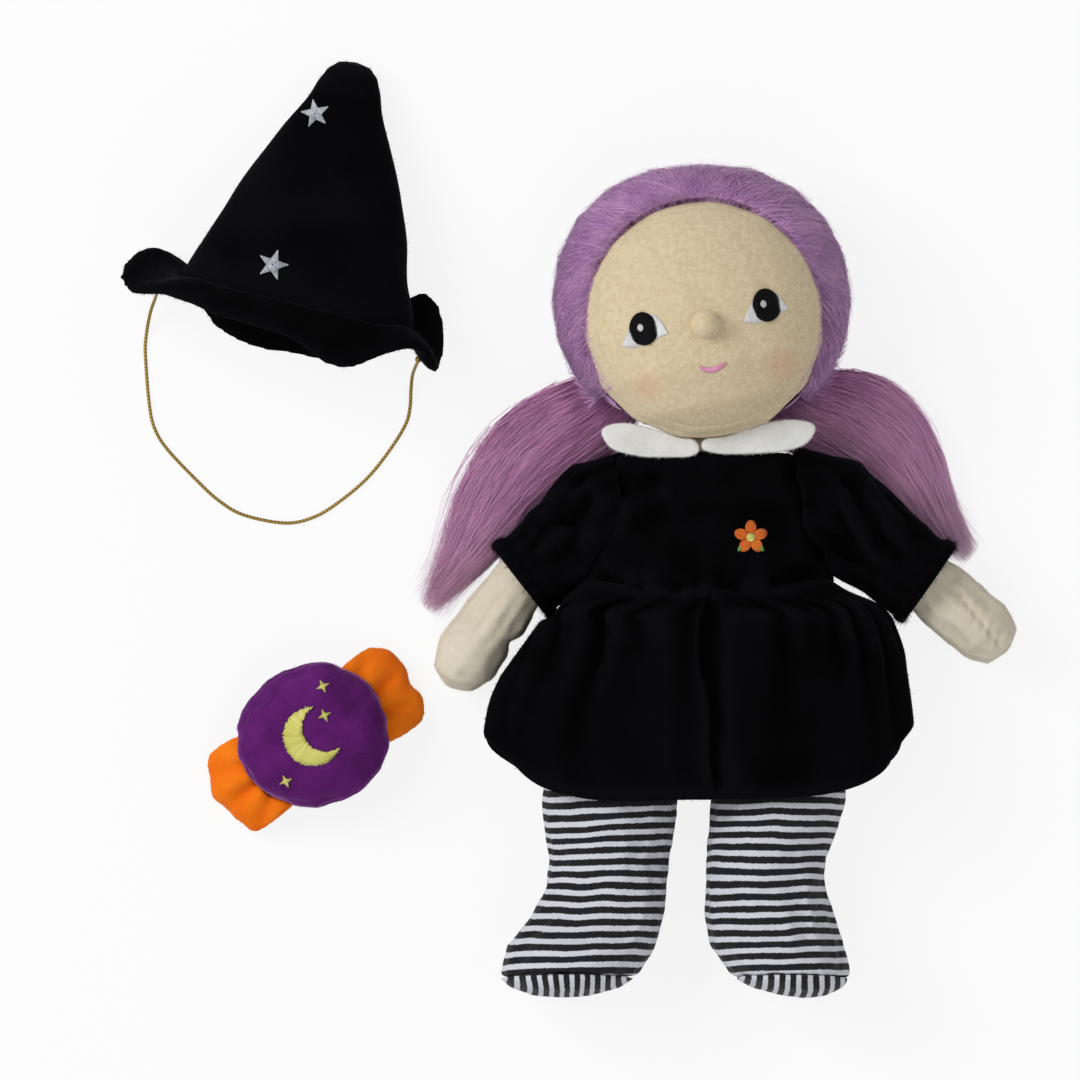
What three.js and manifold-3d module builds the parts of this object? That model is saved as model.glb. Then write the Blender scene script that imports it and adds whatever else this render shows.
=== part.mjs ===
import * as THREE from 'three';
import { mergeVertices } from 'three/addons/utils/BufferGeometryUtils.js';
import Module from 'manifold-3d';

const wasm = await Module();
wasm.setup();

// A stuffed cloth witch doll with its hat and candy, lying on its back on a table.
// Millimetres. +X is the doll's left, +Y its head, +Z up from the table at z = 0.

// Cloth and seams
const clearance = 0.3; // gap kept between neighbouring pieces
const turningGap = 0.4; // gap round a shoulder or hip that turns
const jersey = 1.2; // face and body cloth
const plush = 1.8; // arm cloth with its pile
const stripedCloth = 1.2; // leg cloth
const velour = 1.6; // dress, hat and candy cloth
const stitch = 0.8; // height of embroidery
const flatDepth = 0.5; // how deep the table presses a resting form flat

// Body, measured along Y from the hips to the neck
const bodyEnd = -20.5;
const waistY = 22;
const shoulderPivotY = 55;
const shoulderY = 78;
const neckY = 87;
const bodyX = 2;
const chestX = 4;
const hipHalfWidth = 56;
const waistHalfWidth = 55;
const chestHalfWidth = 51;
const shoulderHalfWidth = 46.5;
const neckHalfWidth = 30;
const bodyHalfDepth = 26;
const shoulderHalfDepth = 20;
const neckHalfDepth = 14;
const bodyZ = 27.5;
const neckZ = 31;
const bodySeamZ = 27;
const neckRadius = 13;
const seatRound = 12;
const shoulderRound = 4;

// Dress
const hemY = -66;
const skirtHalfWidth = 92;
const skirtHalfDepth = 28.5;
const skirtX = -1;
const hemCornerX = 58; // where the hem starts to round up to the sides
const hemCornerY = -34;
const foldCount = 11;
const foldDepth = 1.3;
const armholeHalfWidth = 26;
const armholeHalfDepth = 22;
const shoulderReach = 16; // how far a sleeve runs on over the shoulder, inside the armhole's straight end
const shoulderDrop = 10;
const shoulderSleeveDepth = 15; // half depth of the sleeve at the shoulder
const cuffHalfWidth = 18.5;
const cuffZ = 19.5;
const cuffBand = 5;
const collarThickness = 4;
const collarZ = 46.5;
const collarWidth = 15;
const collarLeaves = {
  right: { side: -1, start: 2, length: 41, lowY: 83.5 },
  left: { side: 1, start: 2.6, length: 47.4, lowY: 85 },
};
const badgeRadius = 8;
const badgeX = 21.7;
const badgeY = 49;

// Arms
const armRootRadius = 13;
const armLength = 87;
const armHalfWidth = 13;
const handHalfWidth = 14.5;
const handHalfDepth = 16;
const armPivotZ = 26;
const armSeamZ = 19;
const arms = {
  left: { side: 1, turn: 40, cuffReach: 42, sleeveTurn: 35, sleeveLength: 68 },
  right: { side: -1, turn: 55, cuffReach: 32, sleeveTurn: 38, sleeveLength: 60 },
};

// Legs
const hipY = -38;
const hipRadius = 21;
const legRootHalfWidth = 27;
const thighHalfWidth = 30;
const ankleHalfWidth = 26;
const instepSwell = 2; // how much wider and deeper the instep is than the ankle
const legHalfDepth = 21;
const legZ = 25;
const footHalfDepth = 29;
const footEnd = -151;
const toeRound = 9;
const soleThickness = 3;
const soleLean = 5; // degrees that the sole leans back towards the heel
const legSeamZ = 23;
const legs = {
  left: { side: 1, hipX: 34, ankleX: 28, footX: 35, footHalfWidth: 29, toeX: 45, toeHalfWidth: 21 },
  right: { side: -1, hipX: 39, ankleX: 40, footX: 54, footHalfWidth: 33, toeX: 60, toeHalfWidth: 26 },
};

// Head
const headX = 1.3;
const headY = 144;
const headZ = 46;
const headHalfWidth = 54;
const headHalfLength = 53;
const headHalfDepth = 41;
const faceRadius = 51.5;
const faceSeamZ = 56;
const headTilt = 11; // degrees that the head leans to its right
const noseRadius = 6.2;
const eyeSpacing = 54;
const eyeHeight = 1;
const eyeWidth = 19.5;
const irisHalfWidth = 6;
const irisHalfLength = 7.2;
const mouthDrop = 23.5;
const mouthWidth = 10.5;
const mouthBand = 2.8;

// Hair
const hairX = 0.5;
const hairY = 152;
const hairZ = 36.5;
const hairHalfWidth = 63.5;
const hairHalfLength = 57.5;
const hairHalfDepth = 37;
const tieRadius = 6;
const tieHalfDepth = 10.5;
const tieLength = 4;
const tieZ = 18;
const tieY = 112;
const bunches = {
  left: { tieX: 37, turn: -130.8, length: 103, bow: -10.5, halfWidth: 17 },
  right: { tieX: -35, turn: 138.2, length: 115, bow: 12.5, halfWidth: 15.5 },
};
const bunchHalfDepth = 9.5;

// Hat, lying on its side
const hatX = -175;
const hatY = 150;
const hatLean = -13.3;
const hatHeight = 106;
const hatHalfWidth = 51.5;
const hatHalfDepth = 30;
const hatTipHalfWidth = 9.5;
const brimThickness = 5;
// The brim's wavy edge in the hat's own frame, from its right side over the front and back under the cone.
const brimEdge = [
  [67.5, -16, 34], [62, -9, 46], [53, -7, 56], [43, -13, 64], [34, -20.5, 70], [24, -24, 74], [13, -21, 76],
  [0, -15.5, 76], [-14, -14, 75], [-32, -13, 70], [-50, -10, 60], [-62, -8.5, 50], [-74, -12, 36],
  [-79, -6, 24], [-77, 4, 13], [-69, 10.5, 6], [-57, 7, 3.5], [-46, -6, 3], [-36, -17, 3], [-22, -23, 3],
  [0, -22.5, 3], [25, -21, 3], [41, -12, 3], [49, 4, 3.5], [53, 19, 6], [61, 15, 12], [67, 2, 22],
];
const starRadius = 7;
const starHeights = [84, 20];
const starOffsets = [-1.5, -7];
const elasticDiameter = 1.5;
const knotRadius = 2.2;
const elasticPath = [
  [-235.5, 156.7, 24.2], [-237, 153, 15], [-239.1, 147.8, 7], [-240.8, 140.5, 2], [-241.7, 133.5, 0.9],
  [-241.6, 126.4, 0.9],
  [-240.2, 108.6, 0.9], [-238, 97.3, 0.9], [-232.4, 87.7, 0.9], [-219.3, 73.8, 0.9],
  [-209.3, 64.7, 0.9], [-198.5, 58.6, 0.9], [-180.7, 55.2, 0.9], [-168.1, 57.8, 0.9],
  [-156.8, 64.7, 0.9], [-144.6, 75.1, 0.9], [-134.6, 87.7, 0.9], [-128, 98.6, 0.9],
  [-126.2, 106, 0.9], [-125.8, 113, 2], [-125.2, 119, 7], [-124, 122.5, 15], [-122.3, 125.9, 25.3],
];

// Candy
const candyX = -168;
const candyY = -37.3;
const candyTurn = -57;
const candyHalfLength = 32;
const candyHalfWidth = 30.5;
const candyHalfDepth = 21;
const candySeamZ = 20;
const wingStart = 20;
const wingLength = 29;
const wingHalfWidth = 23;
const wingHalfDepth = 4.5;
const crescentRadius = 12.8;
const crescentBite = 6; // how far the bitten circle stays inside the moon's far edge
const sparkleRadius = 3;
const sparkles = [[14.5, 13.5], [3.5, 11], [-11, -18]];

const finish = (color, roughness) => new THREE.MeshStandardMaterial({ color, roughness, metalness: 0 });
const cream = finish(0xd9c7a4, 0.9);
const ivory = finish(0xd8cfbd, 0.95);
const fibre = finish(0xf2f0ea, 1);
const black = finish(0x0b0b10, 0.95);
const white = finish(0xefefef, 0.9);
const lilac = finish(0xb57fb5, 0.85);
const striped = finish(0x6a6a74, 0.9);
const silver = finish(0xc9ccd2, 0.5);
const purple = finish(0x5a1a6e, 0.9);
const orange = finish(0xe87810, 0.9);
const yellow = finish(0xd9d768, 0.6);
const pink = finish(0xd98ab4, 0.6);
const gold = new THREE.MeshStandardMaterial({ color: 0xb08a3a, roughness: 0.4, metalness: 0.6 });

const radians = THREE.MathUtils.degToRad;

function solidFrom(geometry) {
  const plain = geometry.clone();
  plain.deleteAttribute('normal');
  plain.deleteAttribute('uv');
  const merged = mergeVertices(plain, 1e-4);
  const vertProperties = merged.attributes.position.array;
  const triVerts = new Uint32Array(merged.index.array);
  return new wasm.Manifold(new wasm.Mesh({ numProp: 3, vertProperties, triVerts }));
}

function meshFrom(solid, name, material) {
  const { vertProperties, triVerts } = solid.getMesh();
  const geometry = new THREE.BufferGeometry();
  geometry.setAttribute('position', new THREE.BufferAttribute(vertProperties, 3));
  geometry.setIndex(new THREE.BufferAttribute(triVerts, 1));
  geometry.computeVertexNormals();
  const mesh = new THREE.Mesh(geometry, material);
  mesh.name = name;
  return mesh;
}

// The piece itself, without slivers that a cut leaves beside it.
function mainBody(solid) {
  return solid.decompose().reduce((best, part) => (part.volume() > best.volume() ? part : best));
}

// A solid box between two corners, used for plane cuts.
function block(low, high) {
  const size = high.map((value, i) => value - low[i]);
  const box = new THREE.BoxGeometry(...size);
  box.translate(...low.map((value, i) => value + size[i] / 2));
  return solidFrom(box);
}
const far = 500;
const table = block([-far, -far, -far], [far, far, 0]);
const above = (z) => block([-far, -far, z], [far, far, far]);
const below = (z) => block([-far, -far, -far], [far, far, z]);
const betweenY = (low, high) => block([-far, low, -far], [far, high, far]);

// Turns a form about Z and moves it from its own frame to the doll's frame.
function placement(x, y, turn) {
  return new THREE.Matrix4().makeRotationZ(radians(turn)).setPosition(x, y, 0);
}

// Smooth values between stations, which are lists that start with y.
function sectionAt(stations, y) {
  const last = stations.length - 1;
  let i = 0;
  while (i < last - 1 && y > stations[i + 1][0]) i += 1;
  const [from, to] = [stations[i], stations[i + 1]];
  const before = stations[Math.max(i - 1, 0)];
  const after = stations[Math.min(i + 2, last)];
  const span = to[0] - from[0];
  const t = THREE.MathUtils.clamp((y - from[0]) / span, 0, 1);
  return from.map((value, k) => {
    const leave = ((to[k] - before[k]) / (to[0] - before[0])) * span;
    const arrive = ((after[k] - value) / (after[0] - from[0])) * span;
    const rise = to[k] - value;
    return value + t * leave + t * t * (3 * rise - 2 * leave - arrive)
      + t * t * t * (leave + arrive - 2 * rise);
  });
}

// A stuffed form: oval rings run along Y through stations [y, x, z, halfWidth, halfDepth],
// with a round end of the given length at each end. grow moves its whole surface out.
function stuffed(form, grow = 0) {
  const { stations, startRound, endRound, sides, rings, square = 1, blunt = 1, ripple = 0 } = form;
  const start = stations[0][0];
  const end = stations[stations.length - 1][0];
  const capRings = Math.max(2, Math.round(sides / 5));
  const levels = [];
  for (let i = 1; i <= capRings && startRound > 0; i += 1) {
    const angle = (i / capRings) * Math.PI / 2;
    levels.push([start + startRound * (1 - Math.cos(angle)), Math.sin(angle) ** blunt]);
  }
  if (startRound === 0) levels.push([start, 1]);
  const middle = end - endRound - (start + startRound);
  for (let i = 1; i < rings && middle > 1; i += 1) {
    levels.push([start + startRound + (middle * i) / rings, 1]);
  }
  if (middle > 1) levels.push([end - endRound, 1]);
  for (let i = capRings - 1; i >= 1 && endRound > 0; i -= 1) {
    const angle = (i / capRings) * Math.PI / 2;
    levels.push([end - endRound * (1 - Math.cos(angle)), Math.sin(angle) ** blunt]);
  }
  const points = [];
  const bend = (value) => Math.sign(value) * Math.abs(value) ** square;
  levels.forEach(([y, scale]) => {
    const [, x, z, halfWidth, halfDepth] = sectionAt(stations, y);
    const fold = (ripple * (end - y)) / (end - start);
    for (let j = 0; j < sides; j += 1) {
      const angle = (2 * Math.PI * j) / sides;
      const wave = fold * Math.cos(foldCount * angle);
      points.push(x + (halfWidth + wave) * scale * bend(Math.cos(angle)), y,
        z + (halfDepth + wave) * scale * bend(Math.sin(angle)));
    }
  });
  const firstCentre = sectionAt(stations, start);
  const lastCentre = sectionAt(stations, end);
  const startPole = points.length / 3;
  points.push(firstCentre[1], start, firstCentre[2], lastCentre[1], end, lastCentre[2]);
  const faces = [];
  const lastRing = (levels.length - 1) * sides;
  for (let j = 0; j < sides; j += 1) {
    const next = (j + 1) % sides;
    faces.push(startPole, j, next, startPole + 1, lastRing + next, lastRing + j);
    for (let ring = 0; ring < lastRing; ring += sides) {
      const [a, b] = [ring + j, ring + next];
      faces.push(a, a + sides, b, b, a + sides, b + sides);
    }
  }
  const geometry = new THREE.BufferGeometry();
  geometry.setAttribute('position', new THREE.Float32BufferAttribute(points, 3));
  geometry.setIndex(faces);
  if (grow !== 0) {
    const flatRings = [startRound === 0 ? 0 : -1, endRound === 0 ? levels.length - 1 : -1];
    offsetSurface(geometry, grow, sides, flatRings);
  }
  return solidFrom(form.place ? geometry.applyMatrix4(form.place) : geometry);
}

// Moves each point out along its normal; the rim of a flat end moves out and along Y alike.
function offsetSurface(geometry, grow, sides, [firstFlat, lastFlat]) {
  geometry.computeVertexNormals();
  const { position, normal } = geometry.attributes;
  for (let i = 0; i < position.count; i += 1) {
    const out = new THREE.Vector3().fromBufferAttribute(normal, i);
    const ring = Math.floor(i / sides);
    if (ring === firstFlat || ring === lastFlat) {
      out.setY(0).normalize().setY(ring === firstFlat ? -1 : 1);
    }
    position.setXYZ(i, position.getX(i) + grow * out.x, position.getY(i) + grow * out.y,
      position.getZ(i) + grow * out.z);
  }
}

// The same form with fewer faces, for the hollow inside a cloth skin and the stuffing in it.
const core = (form) => ({ ...form, sides: Math.max(8, Math.round(form.sides * 0.6)),
  rings: Math.max(2, Math.round(form.rings * 0.6)) });
const sag = (form) => 1.2 - Math.cos(Math.PI / form.sides);

// Front and back skin panels and the stuffing of a stuffed form that is sewn at height seamZ.
function sewn(form, cloth, seamZ, trim) {
  const inside = stuffed(core(form), -cloth - sag(form));
  const skin = trim(stuffed(form)).subtract(inside);
  const filling = trim(stuffed(form)).intersect(stuffed(core(form), -cloth - sag(form) - 2 * clearance));
  return {
    front: skin.intersect(above(seamZ + clearance / 2)),
    back: skin.intersect(below(seamZ - clearance / 2)),
    filling,
  };
}

// A piece of cloth or stitching that lies on a form within an outline seen from above.
function patch(form, outline, thickness, lift = clearance) {
  const depth = far / 5;
  const column = new THREE.ExtrudeGeometry(outline, { depth, bevelEnabled: false, curveSegments: 10 });
  column.translate(0, 0, form.frontFrom);
  if (form.place) column.applyMatrix4(form.place);
  const layer = stuffed(form, lift + thickness).subtract(stuffed(form, lift));
  return layer.intersect(solidFrom(column));
}

function outlineFrom(points) {
  return new THREE.Shape(points.map(([x, y]) => new THREE.Vector2(x, y)));
}

function oval(x, y, halfWidth, halfLength, turn = 0) {
  const shape = new THREE.Shape();
  shape.absellipse(x, y, halfWidth, halfLength, 0, 2 * Math.PI, false, radians(turn));
  return shape;
}

function pointed(x, y, radius, count, inner, turn) {
  const points = [];
  for (let i = 0; i < 2 * count; i += 1) {
    const angle = radians(turn) + (Math.PI * i) / count;
    const reach = i % 2 ? radius * inner : radius;
    points.push([x + reach * Math.cos(angle), y + reach * Math.sin(angle)]);
  }
  return outlineFrom(points);
}

// A moon about the origin that opens along +Y: one circle bitten by a smaller one.
function crescent(radius, bite) {
  const shift = radius - bite;
  const inner = 0.82 * radius;
  const outerAngle = Math.acos((radius ** 2 + shift ** 2 - inner ** 2) / (2 * radius * shift));
  const innerAngle = Math.acos((radius ** 2 - shift ** 2 - inner ** 2) / (2 * inner * shift));
  const shape = new THREE.Shape();
  shape.absarc(0, 0, radius, Math.PI / 2 + outerAngle, 2.5 * Math.PI - outerAngle, false);
  shape.absarc(0, shift, inner, 2.5 * Math.PI - innerAngle, Math.PI / 2 + innerAngle, true);
  return shape;
}

// Forms of the stuffed pieces
const bodyForm = {
  stations: [
    [bodyEnd, bodyX, bodyZ, hipHalfWidth, bodyHalfDepth],
    [waistY, bodyX, bodyZ, waistHalfWidth, bodyHalfDepth],
    [shoulderPivotY, chestX, bodyZ, chestHalfWidth, bodyHalfDepth],
    [shoulderY, chestX, (bodyZ + neckZ) / 2, shoulderHalfWidth, shoulderHalfDepth],
    [neckY, headX, neckZ, neckHalfWidth, neckHalfDepth],
  ],
  startRound: seatRound, endRound: shoulderRound, sides: 16, rings: 6, frontFrom: bodyZ,
};
const headForm = {
  stations: [
    [-headHalfLength, 0, headZ, headHalfWidth, headHalfDepth],
    [headHalfLength, 0, headZ, headHalfWidth, headHalfDepth],
  ],
  startRound: headHalfLength, endRound: headHalfLength, sides: 22, rings: 1, square: 0.92,
  frontFrom: headZ, place: placement(headX, headY, headTilt),
};
const hairForm = {
  stations: [
    [-hairHalfLength, 0, hairZ, hairHalfWidth, hairHalfDepth],
    [hairHalfLength, 0, hairZ, hairHalfWidth, hairHalfDepth],
  ],
  startRound: hairHalfLength, endRound: hairHalfLength, sides: 24, rings: 1, blunt: 0.86,
  place: placement(hairX, hairY, 0),
};

function armPivot({ side }) {
  return [chestX + side * (chestHalfWidth + clearance + armRootRadius), shoulderPivotY];
}

function armForm(arm) {
  const handZ = handHalfDepth - flatDepth;
  return {
    stations: [
      [-armRootRadius, 0, armPivotZ, armRootRadius, armRootRadius],
      [0, 0, armPivotZ, armRootRadius, armRootRadius],
      [0.38 * armLength, 0, cuffZ, armHalfWidth, armHalfWidth],
      [0.62 * armLength, 0, handZ, handHalfWidth, handHalfDepth],
      [armLength, 0, handZ, handHalfWidth, handHalfDepth],
    ],
    startRound: armRootRadius, endRound: handHalfWidth, sides: 12, rings: 6,
    place: placement(...armPivot(arm), arm.side * -(90 + arm.turn)),
  };
}

// A sleeve runs back from its cuff, which is centred on the arm, to the armhole.
function sleeveForm(arm) {
  const [pivotX, pivotY] = armPivot(arm);
  const cuffX = pivotX + arm.side * arm.cuffReach * Math.cos(radians(arm.turn));
  const cuffY = pivotY - arm.cuffReach * Math.sin(radians(arm.turn));
  return {
    stations: [
      [-arm.sleeveLength - shoulderReach, arm.side * shoulderDrop, bodyZ, armholeHalfWidth,
        shoulderSleeveDepth],
      [-arm.sleeveLength, 0, bodyZ, armholeHalfWidth, armholeHalfDepth],
      [0, 0, cuffZ, cuffHalfWidth, cuffHalfWidth],
    ],
    startRound: 0, endRound: 0, sides: 14, rings: 3,
    place: placement(cuffX, cuffY, arm.side * -(90 + arm.sleeveTurn)),
  };
}

function legForm(leg) {
  const { side, hipX, ankleX, footX, footHalfWidth, toeX, toeHalfWidth } = leg;
  const along = (share) => share * (footEnd - hipY);
  const sideways = (x) => side * (x - hipX);
  const footZ = footHalfDepth - flatDepth;
  return {
    stations: [
      [along(1), sideways(toeX), footZ, toeHalfWidth, footHalfDepth],
      [along(0.84), sideways(footX), footZ, footHalfWidth, footHalfDepth],
      [along(0.64), sideways(ankleX + instepSwell), legZ, ankleHalfWidth + instepSwell,
        legHalfDepth + instepSwell],
      [along(0.5), sideways(ankleX), legZ - instepSwell / 2, ankleHalfWidth, legHalfDepth + instepSwell / 2],
      [along(0.24), 0, legZ + instepSwell / 2, thighHalfWidth, legHalfDepth],
      [0, 0, legZ, legRootHalfWidth, hipRadius],
      [hipRadius, 0, legZ, legRootHalfWidth, hipRadius],
    ],
    startRound: toeRound, endRound: hipRadius, sides: 14, rings: 8,
    place: placement(side * hipX, hipY, 0),
  };
}

function bunchForm(bunch) {
  const { tieX, turn, length, bow, halfWidth } = bunch;
  const lieZ = bunchHalfDepth - flatDepth;
  return {
    stations: [
      [tieLength, 0, tieZ, tieRadius, tieRadius],
      [0.26 * length, bow, lieZ + 2, 0.88 * halfWidth, bunchHalfDepth],
      [0.48 * length, bow, lieZ, halfWidth, bunchHalfDepth],
      [0.7 * length, 0.6 * bow, lieZ, 0.85 * halfWidth, bunchHalfDepth],
      [0.89 * length, 0.15 * bow, lieZ - 3, 0.52 * halfWidth, bunchHalfDepth - 3],
      [length, 0, lieZ - 6, 0.16 * halfWidth, bunchHalfDepth - 6],
    ],
    startRound: 0, endRound: 1.5, sides: 10, rings: 8,
    place: placement(tieX, tieY, turn),
  };
}

// The loose skirt, gathered at the waist, with its folds deepest at the hem.
const skirtForm = {
  stations: [
    [hemY - 2 * velour, skirtX, skirtHalfDepth - flatDepth, skirtHalfWidth, skirtHalfDepth],
    [hemCornerY, skirtX, skirtHalfDepth - flatDepth, skirtHalfWidth, skirtHalfDepth],
    [0, skirtX, skirtHalfDepth - flatDepth, 0.92 * skirtHalfWidth, skirtHalfDepth],
    [waistY + 2 * velour, bodyX, bodyZ, waistHalfWidth + clearance + velour,
      bodyHalfDepth + clearance + velour],
  ],
  startRound: 0, endRound: 0, sides: 40, rings: 4, square: 0.7, ripple: foldDepth,
};

const trimTable = (solid) => solid.subtract(table);
const armSolids = Object.values(arms).map((arm) => stuffed(armForm(arm), clearance));
const legSolids = Object.values(legs).map((leg) => stuffed(legForm(leg), clearance));
const sleeveSolids = Object.values(arms).map((arm) => stuffed(sleeveForm(arm), clearance));
const cuffSolids = Object.values(arms).map((arm) => stuffed(sleeveForm(arm), 2 * clearance + velour));
// The round space in which a shoulder or hip turns.
function seat(x, y, z, halfSizes) {
  const ball = new THREE.SphereGeometry(1, 32, 20).rotateZ(Math.PI / 2);
  ball.scale(...halfSizes.map((half) => half + turningGap)).translate(x, y, z);
  return solidFrom(ball);
}
const shoulderSeats = Object.values(arms).map((arm) => seat(...armPivot(arm), armPivotZ,
  [armRootRadius, armRootRadius, armRootRadius]));
const hipSeats = Object.values(legs).map((leg) => seat(leg.side * leg.hipX, hipY, legZ,
  [legRootHalfWidth, hipRadius, hipRadius]));

// The way up from the table through which an arm with its cuff lifts.
function liftWay(arm) {
  const form = armForm(arm);
  const halfWidth = Math.max(handHalfWidth, cuffHalfWidth + velour) + 2 * clearance;
  const reach = armLength + clearance;
  return solidFrom(new THREE.BoxGeometry(2 * halfWidth, reach, far)
    .translate(0, reach / 2, far / 2).applyMatrix4(form.place));
}
const liftWays = Object.values(arms).map(liftWay);
const cutBy = (solid, cutters) => cutters.reduce((rest, cutter) => rest.subtract(cutter), solid);

function makeBody() {
  const group = new THREE.Group();
  const neck = stuffed({
    stations: [
      [neckY - 1, headX, neckZ, neckRadius, neckRadius],
      [headY - 0.8 * headHalfLength, headX, neckZ, neckRadius, neckRadius],
    ],
    startRound: 0, endRound: 0, sides: 12, rings: 1,
  });
  const panels = sewn(bodyForm, jersey, bodySeamZ, (solid) => cutBy(solid, hipSeats));
  group.add(meshFrom(panels.front, 'body_front', cream));
  group.add(meshFrom(panels.back, 'body_back', cream));
  group.add(meshFrom(panels.filling, 'body_stuffing', fibre));
  const neckGap = [stuffed(bodyForm, clearance), stuffed(headForm, clearance), stuffed(hairForm, clearance)];
  group.add(meshFrom(cutBy(neck, neckGap), 'neck', cream));
  return group;
}

function makeDress() {
  const group = new THREE.Group();
  const outside = stuffed(bodyForm, clearance + velour);
  const inside = stuffed(bodyForm, clearance);
  const span = betweenY(waistY, neckY - 1.5);
  const bodice = cutBy(trimTable(outside.subtract(inside).intersect(span)), [...armSolids, ...shoulderSeats]);
  group.add(meshFrom(bodice.intersect(above(bodySeamZ + clearance / 2)), 'bodice_front', black));
  group.add(meshFrom(bodice.intersect(below(bodySeamZ - clearance / 2)), 'bodice_back', black));

  const skirtTop = waistY - clearance;
  const hem = new THREE.Shape();
  const reach = skirtHalfWidth + 3;
  hem.moveTo(skirtX - reach, skirtTop + 1);
  hem.lineTo(skirtX - reach, hemCornerY);
  hem.bezierCurveTo(skirtX - reach, hemY + 8, skirtX - hemCornerX, hemY + 2, skirtX, hemY);
  hem.bezierCurveTo(skirtX + hemCornerX, hemY + 2, skirtX + reach, hemY + 8, skirtX + reach, hemCornerY);
  hem.lineTo(skirtX + reach, skirtTop + 1);
  const hemColumn = new THREE.ExtrudeGeometry(hem, { depth: far, bevelEnabled: false, curveSegments: 8 });
  const hollow = stuffed(skirtForm, -velour).add(stuffed(bodyForm, clearance));
  const cloth = trimTable(stuffed(skirtForm).subtract(hollow));
  const openEnds = cloth.intersect(betweenY(-far, skirtTop));
  const skirt = cutBy(openEnds.intersect(solidFrom(hemColumn)), [...liftWays, ...cuffSolids, ...legSolids]);
  group.add(meshFrom(skirt.intersect(above(bodySeamZ + clearance / 2)), 'skirt_front', black));
  group.add(meshFrom(skirt.intersect(below(bodySeamZ - clearance / 2)), 'skirt_back', black));

  Object.entries(arms).forEach(([name, arm], i) => {
    const form = sleeveForm(arm);
    const gaps = [stuffed(bodyForm, 2 * clearance + velour), armSolids[i]];
    const tube = stuffed(form).subtract(stuffed(form, -velour));
    const slice = (from, to) => solidFrom(new THREE.BoxGeometry(far, to - from, far)
      .translate(0, (from + to) / 2, 0).applyMatrix4(form.place));
    const open = slice(velour + clearance - arm.sleeveLength - shoulderReach, -velour - clearance);
    group.add(meshFrom(mainBody(cutBy(tube.intersect(open), gaps)), 'sleeve_' + name, black));
    const band = stuffed(form, clearance + velour).subtract(stuffed(form, clearance));
    const cuff = trimTable(band.intersect(slice(-cuffBand, -velour)));
    group.add(meshFrom(cutBy(cuff, armSolids), 'cuff_' + name, black));
  });

  // One leaf from its rounded tip along the lower edge to the middle and back, in shares of its size.
  const leafOutline = [[1, 0.8], [0.91, 0.3], [0.66, 0.06], [0.3, 0], [0.08, 0.03], [0, 0.2], [0.06, 0.55],
    [0.45, 0.83], [0.81, 1]];
  Object.entries(collarLeaves).forEach(([name, { side, start, length, lowY }]) => {
    const points = leafOutline.map(([u, v]) => new THREE.Vector3(
      side * (start + u * length), lowY + v * collarWidth, 0));
    const leaf = new THREE.Shape();
    leaf.setFromPoints(new THREE.CatmullRomCurve3(points, true).getPoints(3 * points.length).slice(0, -1));
    const plate = new THREE.ExtrudeGeometry(leaf, { depth: collarThickness, bevelEnabled: false });
    plate.translate(0, 0, collarZ);
    const gaps = [stuffed(bodyForm, 2 * clearance + velour), stuffed(headForm, clearance)];
    group.add(meshFrom(cutBy(solidFrom(plate), gaps), 'collar_' + name, white));
  });
  const flower = pointed(badgeX, badgeY, badgeRadius, 5, 0.6, 18);
  const badge = patch(bodyForm, flower, stitch, 2 * clearance + velour);
  group.add(meshFrom(badge, 'chest_badge', orange));
  return group;
}

function makeHead() {
  const group = new THREE.Group();
  const panels = sewn(headForm, jersey, faceSeamZ, (solid) => solid);
  group.add(meshFrom(panels.front, 'face_panel', cream));
  group.add(meshFrom(panels.back, 'head_back', cream));
  group.add(meshFrom(panels.filling, 'head_stuffing', fibre));

  const nose = new THREE.SphereGeometry(noseRadius, 12, 8);
  nose.translate(0, 0, headZ + headHalfDepth + 0.4 * noseRadius);
  nose.applyMatrix4(headForm.place);
  group.add(meshFrom(solidFrom(nose).subtract(stuffed(headForm, clearance)), 'nose', cream));

  Object.entries({ left: 1, right: -1 }).forEach(([name, side]) => {
    const x = side * eyeSpacing / 2;
    const corners = [[-0.5, -0.35], [-0.25, 0.3], [0.1, 0.36], [0.5, 0.02], [0.2, -0.22]];
    const almond = outlineFrom(corners.map(([u, v]) => [x + side * -u * eyeWidth, eyeHeight + v * eyeWidth]));
    group.add(meshFrom(patch(headForm, almond, stitch), 'eye_white_' + name, white));
    const iris = oval(x, eyeHeight + 1, irisHalfWidth, irisHalfLength);
    group.add(meshFrom(patch(headForm, iris, stitch, 2 * clearance + stitch), 'iris_' + name, black));
  });

  const lips = new THREE.Shape();
  lips.moveTo(-mouthWidth / 2, mouthBand / 3 - mouthDrop);
  lips.quadraticCurveTo(0, -mouthBand - mouthDrop, mouthWidth / 2, mouthBand / 3 - mouthDrop);
  lips.quadraticCurveTo(0, mouthBand / 3 - mouthDrop, -mouthWidth / 2, mouthBand / 3 - mouthDrop);
  group.add(meshFrom(patch(headForm, lips, stitch), 'mouth', pink));
  return group;
}

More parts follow.
